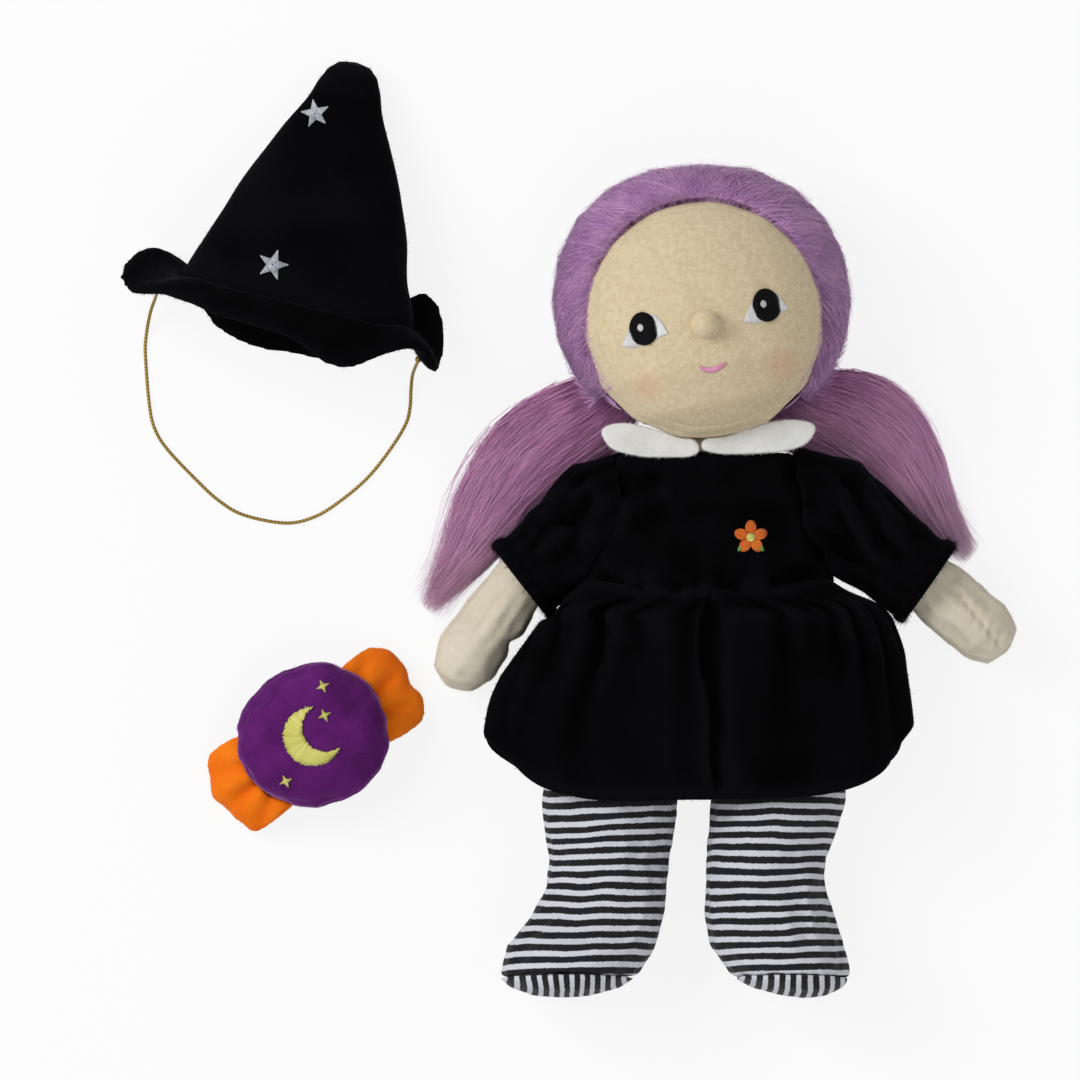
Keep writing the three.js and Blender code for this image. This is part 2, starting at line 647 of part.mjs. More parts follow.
function makeHair() {
  const group = new THREE.Group();
  const opening = new THREE.CylinderGeometry(faceRadius, faceRadius, far, 28);
  opening.rotateX(Math.PI / 2).translate(0, 0, headZ + far / 2).applyMatrix4(headForm.place);
  const headGap = stuffed(headForm, clearance);
  const cap = trimTable(stuffed(hairForm)).subtract(headGap).subtract(solidFrom(opening));
  group.add(meshFrom(cap, 'hair_cap', lilac));
  Object.entries(bunches).forEach(([name, bunch]) => {
    const band = stuffed({
      stations: [[-tieLength, 0, tieZ, tieRadius, tieHalfDepth],
        [tieLength - clearance, 0, tieZ, tieRadius, tieHalfDepth]],
      startRound: 0, endRound: 0, sides: 10, rings: 1, place: bunchForm(bunch).place,
    });
    const gaps = [headGap, stuffed(hairForm, clearance)];
    group.add(meshFrom(cutBy(band, gaps), 'hair_tie_' + name, lilac));
    const lock = cutBy(trimTable(stuffed(bunchForm(bunch))), [...gaps, ...sleeveSolids, ...cuffSolids]);
    group.add(meshFrom(lock, 'hair_bunch_' + name, lilac));
  });
  return group;
}

function makeArm(name, arm) {
  const group = new THREE.Group();
  const panels = sewn(armForm(arm), plush, armSeamZ, trimTable);
  group.add(meshFrom(panels.front, 'arm_front_' + name, ivory));
  group.add(meshFrom(panels.back, 'arm_back_' + name, ivory));
  group.add(meshFrom(panels.filling, 'arm_stuffing_' + name, fibre));
  return group;
}

function makeLeg(name, leg) {
  const group = new THREE.Group();
  const form = legForm(leg);
  const lean = new THREE.Matrix4().makeRotationX(radians(-soleLean)).setPosition(0, footEnd, 0);
  const soleSide = (depth) => solidFrom(new THREE.BoxGeometry(far, far, far)
    .translate(0, depth - far / 2, 0).applyMatrix4(lean));
  const panels = sewn(form, stripedCloth, legSeamZ, (solid) => trimTable(solid)
    .subtract(soleSide(2 * soleThickness + clearance)));
  group.add(meshFrom(panels.front, 'leg_front_' + name, striped));
  group.add(meshFrom(panels.back, 'leg_back_' + name, striped));
  group.add(meshFrom(panels.filling, 'leg_stuffing_' + name, fibre));
  const sole = trimTable(stuffed(form)).intersect(soleSide(2 * soleThickness));
  group.add(meshFrom(sole, 'sole_' + name, striped));
  return group;
}

// The hat in its own frame: the cone runs along +Y from the middle of its mouth.
function makeHat() {
  const group = new THREE.Group();
  const rest = (halfDepth) => halfDepth - flatDepth;
  const tipHalfDepth = hatTipHalfWidth * 0.8;
  const form = {
    stations: [
      [0, 0, rest(hatHalfDepth), hatHalfWidth, hatHalfDepth],
      [0.43 * hatHeight, 0, rest(0.72 * hatHalfDepth), 0.72 * hatHalfWidth, 0.72 * hatHalfDepth],
      [0.7 * hatHeight, 0, rest(0.48 * hatHalfDepth), 0.48 * hatHalfWidth, 0.48 * hatHalfDepth],
      [hatHeight, 0, rest(tipHalfDepth), hatTipHalfWidth, tipHalfDepth],
    ],
    startRound: 0, endRound: 8, sides: 20, rings: 4, frontFrom: tipHalfDepth,
  };
  const mouthFrom = (y) => (y === 0 ? -2 * velour : y);
  const mouth = { ...form, stations: form.stations.map(([y, ...section]) => [mouthFrom(y), ...section]) };
  const cone = trimTable(stuffed(form).subtract(stuffed(mouth, -velour)));
  group.add(meshFrom(cone, 'hat_cone', black));
  group.add(meshFrom(trimTable(brim(form)), 'hat_brim', black));
  starHeights.forEach((y, i) => {
    const star = pointed(starOffsets[i], y, starRadius, 5, 0.42, 100 - 20 * i);
    group.add(meshFrom(patch(form, star, stitch), 'hat_star_' + (i + 1), silver));
  });
  group.position.set(hatX, hatY, 0);
  group.rotation.z = radians(hatLean);
  return group;
}

// A soft ring sewn round the mouth: wavy over the front, an ear at each side, flat under the cone.
function brim(form) {
  const [, , middleZ, halfWidth, halfDepth] = form.stations[0];
  const [around, across] = [54, 8];
  const edge = new THREE.CatmullRomCurve3(brimEdge.map((point) => new THREE.Vector3(...point)), true);
  const points = [];
  for (let i = 0; i < around; i += 1) {
    const angle = (2 * Math.PI * i) / around;
    const up = Math.sin(angle);
    const rise = halfDepth - (up < 0 ? brimThickness / 2 : 0);
    const rootY = velour - brimThickness / 2;
    const root = new THREE.Vector3(halfWidth * Math.cos(angle), rootY, middleZ + rise * up);
    const along = edge.getPoint(i / around).sub(root);
    const width = along.length();
    along.normalize();
    const across3 = edge.getTangent(i / around).cross(along).normalize();
    for (let j = 0; j < across; j += 1) {
      const turn = (2 * Math.PI * j) / across;
      const reach = (width / 2) * (Math.cos(turn) + 1) - velour;
      const round = Math.sign(Math.sin(turn)) * Math.sqrt(Math.abs(Math.sin(turn)));
      const point = root.clone().addScaledVector(along, reach);
      point.addScaledVector(across3, (brimThickness / 2) * round);
      points.push(point.x, point.y, point.z);
    }
  }
  const faces = [];
  for (let i = 0; i < around; i += 1) {
    for (let j = 0; j < across; j += 1) {
      const a = i * across + j;
      const b = i * across + ((j + 1) % across);
      const c = ((i + 1) % around) * across + ((j + 1) % across);
      const d = ((i + 1) % around) * across + j;
      faces.push(a, b, c, a, c, d);
    }
  }
  const geometry = new THREE.BufferGeometry();
  geometry.setAttribute('position', new THREE.Float32BufferAttribute(points, 3));
  geometry.setIndex(faces);
  return solidFrom(geometry).subtract(stuffed(form, clearance));
}

// The thin gold elastic that keeps the hat on, with a knot at each end under the brim.
function makeElastic() {
  const group = new THREE.Group();
  const route = new THREE.CatmullRomCurve3(elasticPath.map((point) => new THREE.Vector3(...point)));
  const section = new THREE.Shape();
  section.absarc(0, 0, elasticDiameter / 2, 0, 2 * Math.PI);
  const options = { steps: 46, curveSegments: 4, bevelEnabled: false, extrudePath: route };
  const cord = new THREE.ExtrudeGeometry(section, options);
  group.add(meshFrom(solidFrom(cord), 'hat_elastic', gold));
  [['left', 0, 1], ['right', elasticPath.length - 1, elasticPath.length - 2]].forEach(([name, end, next]) => {
    const tip = new THREE.Vector3(...elasticPath[end]);
    const away = tip.clone().sub(new THREE.Vector3(...elasticPath[next])).normalize();
    const knot = new THREE.SphereGeometry(knotRadius, 10, 6);
    knot.translate(...tip.addScaledVector(away, knotRadius + clearance));
    group.add(meshFrom(solidFrom(knot), 'elastic_knot_' + name, gold));
  });
  return group;
}

// The candy in its own frame, with its length along Y.
function makeCandy() {
  const group = new THREE.Group();
  const middleZ = candyHalfDepth - flatDepth;
  const form = {
    stations: [
      [-candyHalfLength, 0, middleZ, candyHalfWidth, candyHalfDepth],
      [candyHalfLength, 0, middleZ, candyHalfWidth, candyHalfDepth],
    ],
    startRound: 0.85 * candyHalfLength, endRound: 0.85 * candyHalfLength, sides: 18, rings: 2,
    frontFrom: middleZ,
  };
  const panels = sewn(form, velour, candySeamZ, trimTable);
  group.add(meshFrom(panels.front, 'candy_front', purple));
  group.add(meshFrom(panels.back, 'candy_back', purple));
  group.add(meshFrom(panels.filling, 'candy_stuffing', fibre));

  const wingZ = wingHalfDepth - flatDepth;
  const wing = stuffed({
    stations: [
      [wingStart, 0, 0.8 * middleZ, 0.86 * wingHalfWidth, 1.6 * wingHalfDepth],
      [wingStart + 0.3 * wingLength, 0, 0.7 * middleZ, 0.97 * wingHalfWidth, 1.4 * wingHalfDepth],
      [wingStart + 0.6 * wingLength, 0, 0.5 * middleZ, wingHalfWidth, 1.2 * wingHalfDepth],
      [wingStart + wingLength, 0, wingZ, 0.97 * wingHalfWidth, wingHalfDepth],
    ],
    startRound: 0, endRound: 5, sides: 14, rings: 4,
  });
  const pouchGap = stuffed(form, clearance);
  ['upper', 'lower'].forEach((name, i) => {
    const piece = meshFrom(trimTable(wing).subtract(pouchGap), 'candy_wing_' + name, orange);
    piece.rotation.z = i * Math.PI;
    group.add(piece);
  });

  group.add(meshFrom(patch(form, crescent(crescentRadius, crescentBite), stitch), 'candy_crescent', yellow));
  sparkles.forEach(([x, y], i) => {
    const sparkle = pointed(x, y, sparkleRadius, 4, 0.4, 33);
    group.add(meshFrom(patch(form, sparkle, stitch), 'candy_sparkle_' + (i + 1), yellow));
  });
  group.position.set(candyX, candyY, 0);
  group.rotation.z = radians(candyTurn);
  return group;
}

const doll = new THREE.Group();
doll.add(makeBody(), makeDress(), makeHead(), makeHair());
Object.entries(arms).forEach(([name, arm]) => doll.add(makeArm(name, arm)));
Object.entries(legs).forEach(([name, leg]) => doll.add(makeLeg(name, leg)));
doll.add(makeHat(), makeElastic(), makeCandy());

export default doll;
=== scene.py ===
import bpy
import math
import numpy as np
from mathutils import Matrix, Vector, noise
from mathutils.bvhtree import BVHTree


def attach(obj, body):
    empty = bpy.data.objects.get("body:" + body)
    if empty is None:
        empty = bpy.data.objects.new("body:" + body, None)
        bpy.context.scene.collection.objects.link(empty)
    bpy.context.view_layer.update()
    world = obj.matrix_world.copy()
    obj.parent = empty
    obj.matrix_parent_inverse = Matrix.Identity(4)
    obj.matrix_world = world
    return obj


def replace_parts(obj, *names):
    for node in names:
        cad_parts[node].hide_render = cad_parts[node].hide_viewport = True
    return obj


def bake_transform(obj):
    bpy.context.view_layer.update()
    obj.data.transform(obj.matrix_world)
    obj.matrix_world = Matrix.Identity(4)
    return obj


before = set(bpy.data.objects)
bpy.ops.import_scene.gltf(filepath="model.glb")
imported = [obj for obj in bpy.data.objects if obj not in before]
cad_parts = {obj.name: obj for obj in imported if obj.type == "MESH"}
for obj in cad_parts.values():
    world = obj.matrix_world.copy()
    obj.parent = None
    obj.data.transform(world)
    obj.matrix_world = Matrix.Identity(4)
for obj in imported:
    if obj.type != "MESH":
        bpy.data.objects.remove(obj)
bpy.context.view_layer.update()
mm = 0.001
print("stage: frame loaded,", len(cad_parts), "nodes")

# camera, straight down as in the photo
view = {"middle": (-69.5, 47.8), "width": 469.0, "height": 6000.0, "level": 30.0, "sensor": 36.0}
camera = bpy.data.objects.new("camera", bpy.data.cameras.new("camera"))
bpy.context.scene.collection.objects.link(camera)
camera.location = Vector((*view["middle"], view["height"] + view["level"])) * mm
camera.data.sensor_width = view["sensor"]
camera.data.lens = view["sensor"] * view["height"] / view["width"]
camera.data.clip_end = 50
bpy.context.scene.camera = camera
bpy.context.scene.view_settings.view_transform = "Standard"


# tools for meshes
def deselectAll():
    if bpy.context.object and bpy.context.object.mode != "OBJECT":
        bpy.ops.object.mode_set(mode="OBJECT")
    bpy.ops.object.select_all(action="DESELECT")


def pick(piece):
    deselectAll()
    piece.select_set(True)
    bpy.context.view_layer.objects.active = piece


def joinInto(main, others):
    pick(main)
    for other in others:
        other.select_set(True)
    bpy.ops.object.join()


def inEdit(piece, operator, **options):  # runs one mesh operator on the whole of a piece
    pick(piece)
    bpy.ops.object.mode_set(mode="EDIT")
    bpy.ops.mesh.select_all(action="SELECT")
    operator(**options)
    bpy.ops.object.mode_set(mode="OBJECT")


def applied(piece, kind, **settings):  # adds one modifier and applies it
    pick(piece)
    modifier = piece.modifiers.new("step", kind)
    for name, value in settings.items():
        setattr(modifier, name, value)
    bpy.ops.object.modifier_apply(modifier=modifier.name)


def readRows(piece, kind):
    rows = np.empty(len(piece.data.vertices) * 3)
    piece.data.vertices.foreach_get(kind, rows)
    return rows.reshape(-1, 3)


def pointsOf(piece):
    return readRows(piece, "co")


def normalsOf(piece):
    return readRows(piece, "normal")


def movePoints(piece, co):
    piece.data.vertices.foreach_set("co", np.asarray(co, float).ravel())
    piece.data.update()


def pushAlong(piece, co, no, lift):  # moves each point along its normal by a lift in millimetres
    movePoints(piece, co + no * (lift * mm)[:, None])


def writeValue(piece, name, values):
    piece.data.attributes.new(name, "FLOAT", "POINT").data.foreach_set("value", values)


def linked(name, mesh):
    piece = bpy.data.objects.new(name, mesh)
    bpy.context.scene.collection.objects.link(piece)
    return piece


def smoothFaces(piece):
    piece.data.polygons.foreach_set("use_smooth", [True] * len(piece.data.polygons))
    piece.data.update()


def keepOuter(piece):  # drops the inner shells that a remesh leaves round the stuffing
    name = piece.name
    inEdit(piece, bpy.ops.mesh.separate, type="LOOSE")
    parts = sorted(bpy.context.selected_objects, key=lambda p: -p.dimensions.length)
    for other in parts[1:]:
        bpy.data.objects.remove(other)
    parts[0].name = name
    return parts[0]


def softCopy(name, nodes, voxel, rounds):  # one even skin over copies of CAD nodes, rounded off
    copies = [linked(name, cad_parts[node].data.copy()) for node in nodes]
    piece = copies[0]
    if len(copies) > 1:
        joinInto(piece, copies[1:])
    piece.name = name
    piece.data.materials.clear()
    inEdit(piece, bpy.ops.mesh.remove_doubles, threshold=1e-6)
    piece.data.remesh_voxel_size = voxel * mm
    piece.data.remesh_voxel_adaptivity = 0
    bpy.ops.object.voxel_remesh()
    piece = keepOuter(piece)
    applied(piece, "SMOOTH", factor=0.5, iterations=rounds)
    return piece


def subdivide(piece):
    applied(piece, "SUBSURF", levels=1, render_levels=1)


def thicken(piece, thickness):
    applied(piece, "SOLIDIFY", thickness=thickness * mm, offset=-1)


def cutFlat(piece, level, normal):  # keeps the side that the normal points away from, and closes the cut
    inEdit(piece, bpy.ops.mesh.bisect, plane_co=(0, level * mm, 0), plane_no=normal, use_fill=True,
           clear_outer=True)


def inflate(piece, soft, pinned):  # swells a cloth skin under pressure, held along its seams
    start = pointsOf(piece)
    scene = bpy.context.scene
    cloth = piece.modifiers.new("inflate", "CLOTH")
    settings = cloth.settings
    settings.quality = 4
    settings.mass = 0.25
    settings.tension_stiffness = soft["stiff"]
    settings.compression_stiffness = soft["stiff"]
    settings.bending_stiffness = soft["bend"]
    settings.use_pressure = True
    settings.uniform_pressure_force = soft["pressure"]
    settings.shrink_min = soft["shrink"]
    settings.effector_weights.gravity = 0
    cloth.collision_settings.use_collision = False
    group = piece.vertex_groups.new(name="seam")
    group.add([int(i) for i in np.flatnonzero(pinned)], 1, "REPLACE")
    settings.vertex_group_mass = "seam"
    settings.pin_stiffness = 1
    cloth.point_cache.frame_start = 1
    cloth.point_cache.frame_end = soft["frames"]
    for step in range(1, soft["frames"] + 1):
        scene.frame_set(step)
    end = pointsOf(piece.evaluated_get(bpy.context.evaluated_depsgraph_get()))
    piece.modifiers.remove(cloth)
    scene.frame_set(1)
    move = end - start
    reach = np.linalg.norm(move, axis=1, keepdims=True)
    cap = soft["cap"] * mm
    move *= np.where(reach > cap, cap / np.maximum(reach, 1e-9), 1)
    movePoints(piece, start + move)


def surfaceOf(piece):
    polygons = [tuple(p.vertices) for p in piece.data.polygons]
    return BVHTree.FromPolygons([tuple(v) for v in pointsOf(piece)], polygons)


def heightOn(surface, x, y, top=0.3):
    hit = surface.ray_cast(Vector((x, y, top)), Vector((0, 0, -1)))[0]
    return hit.z if hit else None


def swell(piece, size, scale, seed):  # uneven filling, as broad dents and bumps along the normals
    co, no = pointsOf(piece), normalsOf(piece)
    shift = Vector((seed, seed, seed))
    lift = np.array([noise.noise(Vector(p) / (scale * mm) + shift) for p in co])
    pushAlong(piece, co, no, lift * size)


def eased(share):
    return share * share * (3 - 2 * share)


def crease(piece, lines):  # folds on the upper side, each from x, y to x, y with a half width and a depth
    co, no = pointsOf(piece), normalsOf(piece)
    x, y = co[:, 0] / mm, co[:, 1] / mm
    lift = np.zeros(len(co))
    for ax, ay, bx, by, half, deep in lines:
        wx, wy = bx - ax, by - ay
        long = math.hypot(wx, wy)
        run = ((x - ax) * wx + (y - ay) * wy) / long ** 2
        bow = 0.07 * long * np.sin(math.pi * np.clip(run, 0, 1))
        off = ((y - ay) * wx - (x - ax) * wy) / long + bow
        ends = eased(np.clip(np.minimum(run, 1 - run) / 0.25, 0, 1))
        ridge = 0.7 * np.exp(-((off - 1.7 * half) / (1.3 * half)) ** 2)
        lift += ends * deep * (ridge - np.exp(-(off / half) ** 2))
    lift *= np.clip((no[:, 2] - 0.1) / 0.5, 0, 1)
    pushAlong(piece, co, no, lift)


def shadeFolds(piece, rounds, gain):  # painted shade: the tone attribute is lighter on ridges and darker in valleys, as light and shade would fall on the folds
    modifier = piece.modifiers.new("level", "SMOOTH")
    modifier.factor = 0.5
    modifier.iterations = rounds
    level = pointsOf(piece.evaluated_get(bpy.context.evaluated_depsgraph_get()))
    piece.modifiers.remove(modifier)
    ridge = ((pointsOf(piece) - level) * normalsOf(piece)).sum(axis=1) / mm
    writeValue(piece, "tone", np.clip(0.4 + gain * (ridge - np.median(ridge)), -0.1, 1.2))


def easeThrough(at, xs, ys):  # smooth values through a few stations
    xs, ys = np.asarray(xs, float), np.asarray(ys, float)
    slopes = np.gradient(ys, xs)
    i = np.clip(np.searchsorted(xs, at) - 1, 0, len(xs) - 2)
    span = xs[i + 1] - xs[i]
    t = np.clip((at - xs[i]) / span, 0, 1)
    return ((1 + 2 * t) * (1 - t) ** 2 * ys[i] + t * (1 - t) ** 2 * span * slopes[i]
            + t * t * (3 - 2 * t) * ys[i + 1] + t * t * (t - 1) * span * slopes[i + 1])


def unit(vector):
    return vector / np.linalg.norm(vector)


def turned(x, y, degrees, middle=(0, 0)):  # turns a place and moves it on
    c, s = math.cos(math.radians(degrees)), math.sin(math.radians(degrees))
    return middle[0] + x * c - y * s, middle[1] + x * s + y * c


def turnedBack(x, y, degrees):
    c, s = math.cos(math.radians(degrees)), math.sin(math.radians(degrees))
    return x * c + y * s, -x * s + y * c


def restOnTable(piece, level=0.2):
    co = pointsOf(piece)
    co[:, 2] = np.maximum(co[:, 2], level * mm)
    movePoints(piece, co)


def dress(piece, material):
    smoothFaces(piece)
    piece.data.materials.clear()
    piece.data.materials.append(material)
    return piece


# strands, embroidery and pile
def strandMesh(name, paths, width, shade, sides=3, tip=0.25, flat=1.0):
    paths = np.asarray(paths, float)
    count, steps, _ = paths.shape
    along = np.gradient(paths, axis=1)
    along /= np.maximum(np.linalg.norm(along, axis=2, keepdims=True), 1e-12)
    guide = np.tile(np.array([0.13, 0.21, 0.97]), (count, steps, 1))  # mostly upright, never along a strand
    across = np.cross(along, guide)
    across /= np.maximum(np.linalg.norm(across, axis=2, keepdims=True), 1e-9)
    up = np.cross(across, along)
    width = np.broadcast_to(np.asarray(width, float), (count,))
    run = np.linspace(0, 1, steps)
    reach = width[:, None] * mm / 2 * (1 - (1 - tip) * run ** 2)[None, :]
    corners = []
    for k in range(sides):
        angle = 2 * math.pi * k / sides + math.pi / 4
        turn = math.cos(angle) * across + flat * math.sin(angle) * up
        corners.append(paths + turn * reach[:, :, None])
    verts = np.stack(corners, axis=2).reshape(-1, 3)
    base = (np.arange(count)[:, None] * steps + np.arange(steps)[None, :]) * sides
    faces = []
    for k in range(sides):
        n = (k + 1) % sides
        quads = [base[:, :-1] + k, base[:, 1:] + k, base[:, 1:] + n, base[:, :-1] + n]
        faces += np.stack(quads, axis=2).reshape(-1, 4).tolist()
    order = np.arange(sides)
    faces += (base[:, :1] + order[None, :]).tolist()
    faces += (base[:, -1:] + order[None, ::-1]).tolist()
    mesh = bpy.data.meshes.new(name)
    mesh.from_pydata([tuple(v) for v in verts], [], faces)
    mesh.update()
    piece = linked(name, mesh)
    writeValue(piece, "tone", np.repeat(np.asarray(shade, float), steps * sides))
    writeValue(piece, "along", np.tile(np.repeat(run, sides), count))
    smoothFaces(piece)
    inEdit(piece, bpy.ops.mesh.normals_make_consistent, inside=False)
    return piece


def embroider(name, lines, surface, thread, finish, body, node=None):  # threads laid side by side on a piece
    material, slot = finish
    width, seed, high, lift = thread
    dice = np.random.default_rng(seed)
    steps = 6
    paths = []
    for (ax, ay), (bx, by) in lines:
        path = []
        for i in range(steps):
            t = i / (steps - 1)
            x, y = (ax + (bx - ax) * t) * mm, (ay + (by - ay) * t) * mm
            z = heightOn(surface, x, y)
            if z is None:
                break
            path.append((x, y, z + (lift + high * (math.sin(math.pi * t) ** 0.5)) * mm))
        if len(path) == steps:
            paths.append(path)
    shade = dice.uniform(0, 1, len(paths))
    piece = dress(strandMesh(name, paths, width, shade, sides=5, tip=0.8, flat=0.7), material)
    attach(piece, body)
    if node:
        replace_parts(piece, node)


def fibresOn(piece, fluff, seed):  # short upright fibres all over a piece
    dice = np.random.default_rng(seed)
    count = fluff["count"]
    piece.data.calc_loop_triangles()
    tris = np.empty(len(piece.data.loop_triangles) * 3, int)
    piece.data.loop_triangles.foreach_get("vertices", tris)
    tris = tris.reshape(-1, 3)
    co, no = pointsOf(piece), normalsOf(piece)
    a, b, c = co[tris[:, 0]], co[tris[:, 1]], co[tris[:, 2]]
    area = np.linalg.norm(np.cross(b - a, c - a), axis=1)
    chosen = dice.choice(len(tris), count, p=area / area.sum())
    u, v = dice.uniform(0, 1, (2, count))
    over = u + v > 1
    u[over], v[over] = 1 - u[over], 1 - v[over]
    weights = np.stack([1 - u - v, u, v], axis=1)
    root = np.einsum("nk,nkj->nj", weights, co[tris[chosen]])
    normal = np.einsum("nk,nkj->nj", weights, no[tris[chosen]])
    lean = dice.normal(0, fluff["lean"], (count, 3)) + np.array(fluff.get("nap", (0, 0, 0)))
    length = fluff["length"] * mm * dice.uniform(0.5, 1.1, count)[:, None]
    paths = np.stack([root - normal * 0.3 * mm, root + (normal + lean) * length], axis=1)
    paths[:, :, 2] = np.maximum(paths[:, :, 2], 0.1 * mm)
    fibres = strandMesh(piece.name + "Pile", paths, fluff["width"], dice.uniform(0, 1, count), tip=0.3)
    for material in piece.data.materials:
        fibres.data.materials.append(material)
    return fibres


def pile(piece, fluff, seed):  # the fibres of a stuffed piece are part of its mesh
    fibres = fibresOn(piece, fluff, seed)
    if piece.data.attributes.get("tone") is None:
        writeValue(piece, "tone", np.full(len(piece.data.vertices), 0.4))
    joinInto(piece, [fibres])


# finishes
def tint(code):
    parts = [int(code[i:i + 2], 16) / 255 for i in (1, 3, 5)]
    return tuple(p / 12.92 if p <= 0.04045 else ((p + 0.055) / 1.055) ** 2.4 for p in parts) + (1.0,)


def makeGroup(name, inputs, outputs):
    group = bpy.data.node_groups.new(name, "ShaderNodeTree")
    for label, kind, value in inputs:
        socket = group.interface.new_socket(label, in_out="INPUT", socket_type=kind)
        if value is not None:
            socket.default_value = value
    for label in outputs:
        group.interface.new_socket(label, in_out="OUTPUT", socket_type="NodeSocketFloat")
    return group, group.nodes.new("NodeGroupInput"), group.nodes.new("NodeGroupOutput")


def addNode(tree, kind, inputs, **settings):  # a plain value is set, an output of another node is linked
    node = tree.nodes.new(kind)
    for name, value in settings.items():
        setattr(node, name, value)
    for name, value in inputs.items():
        if isinstance(value, (int, float, tuple)):
            node.inputs[name].default_value = value
        elif value is not None:
            tree.links.new(value, node.inputs[name])
    return node


def mathNode(tree, kind, *values):
    return addNode(tree, "ShaderNodeMath", dict(enumerate(values)), operation=kind).outputs[0]


def noiseNode(tree, vector, scale, detail=2.0, rough=0.5):
    inputs = {"Vector": vector, "Scale": scale, "Detail": detail, "Roughness": rough}
    return addNode(tree, "ShaderNodeTexNoise", inputs).outputs[0]


def stretchNode(tree, value, low, high, **settings):  # spreads a narrow range of a pattern over 0 to 1
    inputs = {"Value": value, "From Min": low, "From Max": high}
    return addNode(tree, "ShaderNodeMapRange", inputs, **settings).outputs[0]


def mixNode(tree, factor, first, second):
    return addNode(tree, "ShaderNodeMix", {0: factor, 6: first, 7: second}, data_type="RGBA").outputs[2]


pileGroup, pileIn, pileOut = makeGroup("pile", [("Vector", "NodeSocketVector", None),
    ("Fine", "NodeSocketFloat", 900.0), ("Broad", "NodeSocketFloat", 40.0)], ["Height", "Shade"])
fineNoise = noiseNode(pileGroup, pileIn.outputs["Vector"], pileIn.outputs["Fine"], 2.0, 0.6)
broadNoise = noiseNode(pileGroup, pileIn.outputs["Vector"], pileIn.outputs["Broad"], 3.0, 0.55)
crushed = mathNode(pileGroup, "MULTIPLY_ADD", stretchNode(pileGroup, broadNoise, 0.32, 0.68), 0.8,
                   mathNode(pileGroup, "MULTIPLY", stretchNode(pileGroup, fineNoise, 0.3, 0.7), 0.2))
pileGroup.links.new(fineNoise, pileOut.inputs["Height"])
pileGroup.links.new(crushed, pileOut.inputs["Shade"])

weaveGroup, weaveIn, weaveOut = makeGroup("weave", [("Vector", "NodeSocketVector", None),
    ("Threads", "NodeSocketFloat", 1000.0)], ["Height", "Fleck"])
weaveSplit = addNode(weaveGroup, "ShaderNodeSeparateXYZ", {0: weaveIn.outputs["Vector"]})
wobble = noiseNode(weaveGroup, weaveIn.outputs["Vector"], 160.0, 2.0)
rowPhase = mathNode(weaveGroup, "MULTIPLY_ADD", wobble, 9.0,
                    mathNode(weaveGroup, "MULTIPLY", weaveSplit.outputs[1], weaveIn.outputs["Threads"]))
acrossAxis = mathNode(weaveGroup, "ADD", weaveSplit.outputs[0], weaveSplit.outputs[2])
columnPhase = mathNode(weaveGroup, "MULTIPLY_ADD", wobble, 9.0,
                       mathNode(weaveGroup, "MULTIPLY", acrossAxis, weaveIn.outputs["Threads"]))
rowsAndColumns = mathNode(weaveGroup, "MULTIPLY", mathNode(weaveGroup, "SINE", rowPhase),
                          mathNode(weaveGroup, "SINE", columnPhase))
weaveHeight = mathNode(weaveGroup, "MULTIPLY_ADD", rowsAndColumns, 0.5, 0.5)
fleck = stretchNode(weaveGroup, noiseNode(weaveGroup, weaveIn.outputs["Vector"], 420.0, 4.0, 0.7), 0.3, 0.7)
weaveGroup.links.new(weaveHeight, weaveOut.inputs["Height"])
weaveGroup.links.new(fleck, weaveOut.inputs["Fleck"])


def newMaterial(name, roughness, sheen=0.0, sheenRough=0.5, sheenTint=(1, 1, 1, 1), shine=0.25):
    material = bpy.data.materials.new(name)
    material.use_nodes = True
    tree = material.node_tree
    tree.nodes.clear()
    shader = addNode(tree, "ShaderNodeBsdfPrincipled", {
        "Roughness": roughness, "Specular IOR Level": shine, "Sheen Weight": sheen,
        "Sheen Roughness": sheenRough, "Sheen Tint": sheenTint})
    addNode(tree, "ShaderNodeOutputMaterial", {0: shader.outputs[0]})
    coords = tree.nodes.new("ShaderNodeTexCoord")
    return material, tree, shader, coords.outputs["Object"]


def bumpInto(tree, shader, height, strength, distance):
    inputs = {"Strength": strength, "Distance": distance * mm, "Height": height}
    bump = addNode(tree, "ShaderNodeBump", inputs)
    tree.links.new(bump.outputs[0], shader.inputs["Normal"])


def groupInto(tree, group, vector, **values):
    return addNode(tree, "ShaderNodeGroup", {"Vector": vector, **values}, node_tree=group)


def attributeNode(tree, name):
    return addNode(tree, "ShaderNodeAttribute", {}, attribute_name=name).outputs["Fac"]


def pileMaterial(name, dark, light, fine, broad, bump, sheen, sheenTint=(1, 1, 1, 1), sheenRough=0.45,
                 shine=0.1, fold=0.5):
    material, tree, shader, vector = newMaterial(name, 0.95, sheen, sheenRough, sheenTint, shine)
    group = groupInto(tree, pileGroup, vector, Fine=fine, Broad=broad)
    crush = mathNode(tree, "MULTIPLY_ADD", group.outputs["Shade"], 0.6, 0.4 * (0.5 - fold))
    # painted shade: the tone attribute, weighted by fold, carries the painted fold shade from shadeFolds
    # (lighter ridges, darker valleys); on fibres it is random tone
    tone = mathNode(tree, "MULTIPLY_ADD", attributeNode(tree, "tone"), fold, crush)
    tree.links.new(mixNode(tree, tone, tint(dark), tint(light)), shader.inputs["Base Color"])
    bumpInto(tree, shader, group.outputs["Height"], bump, 0.8)
    return material


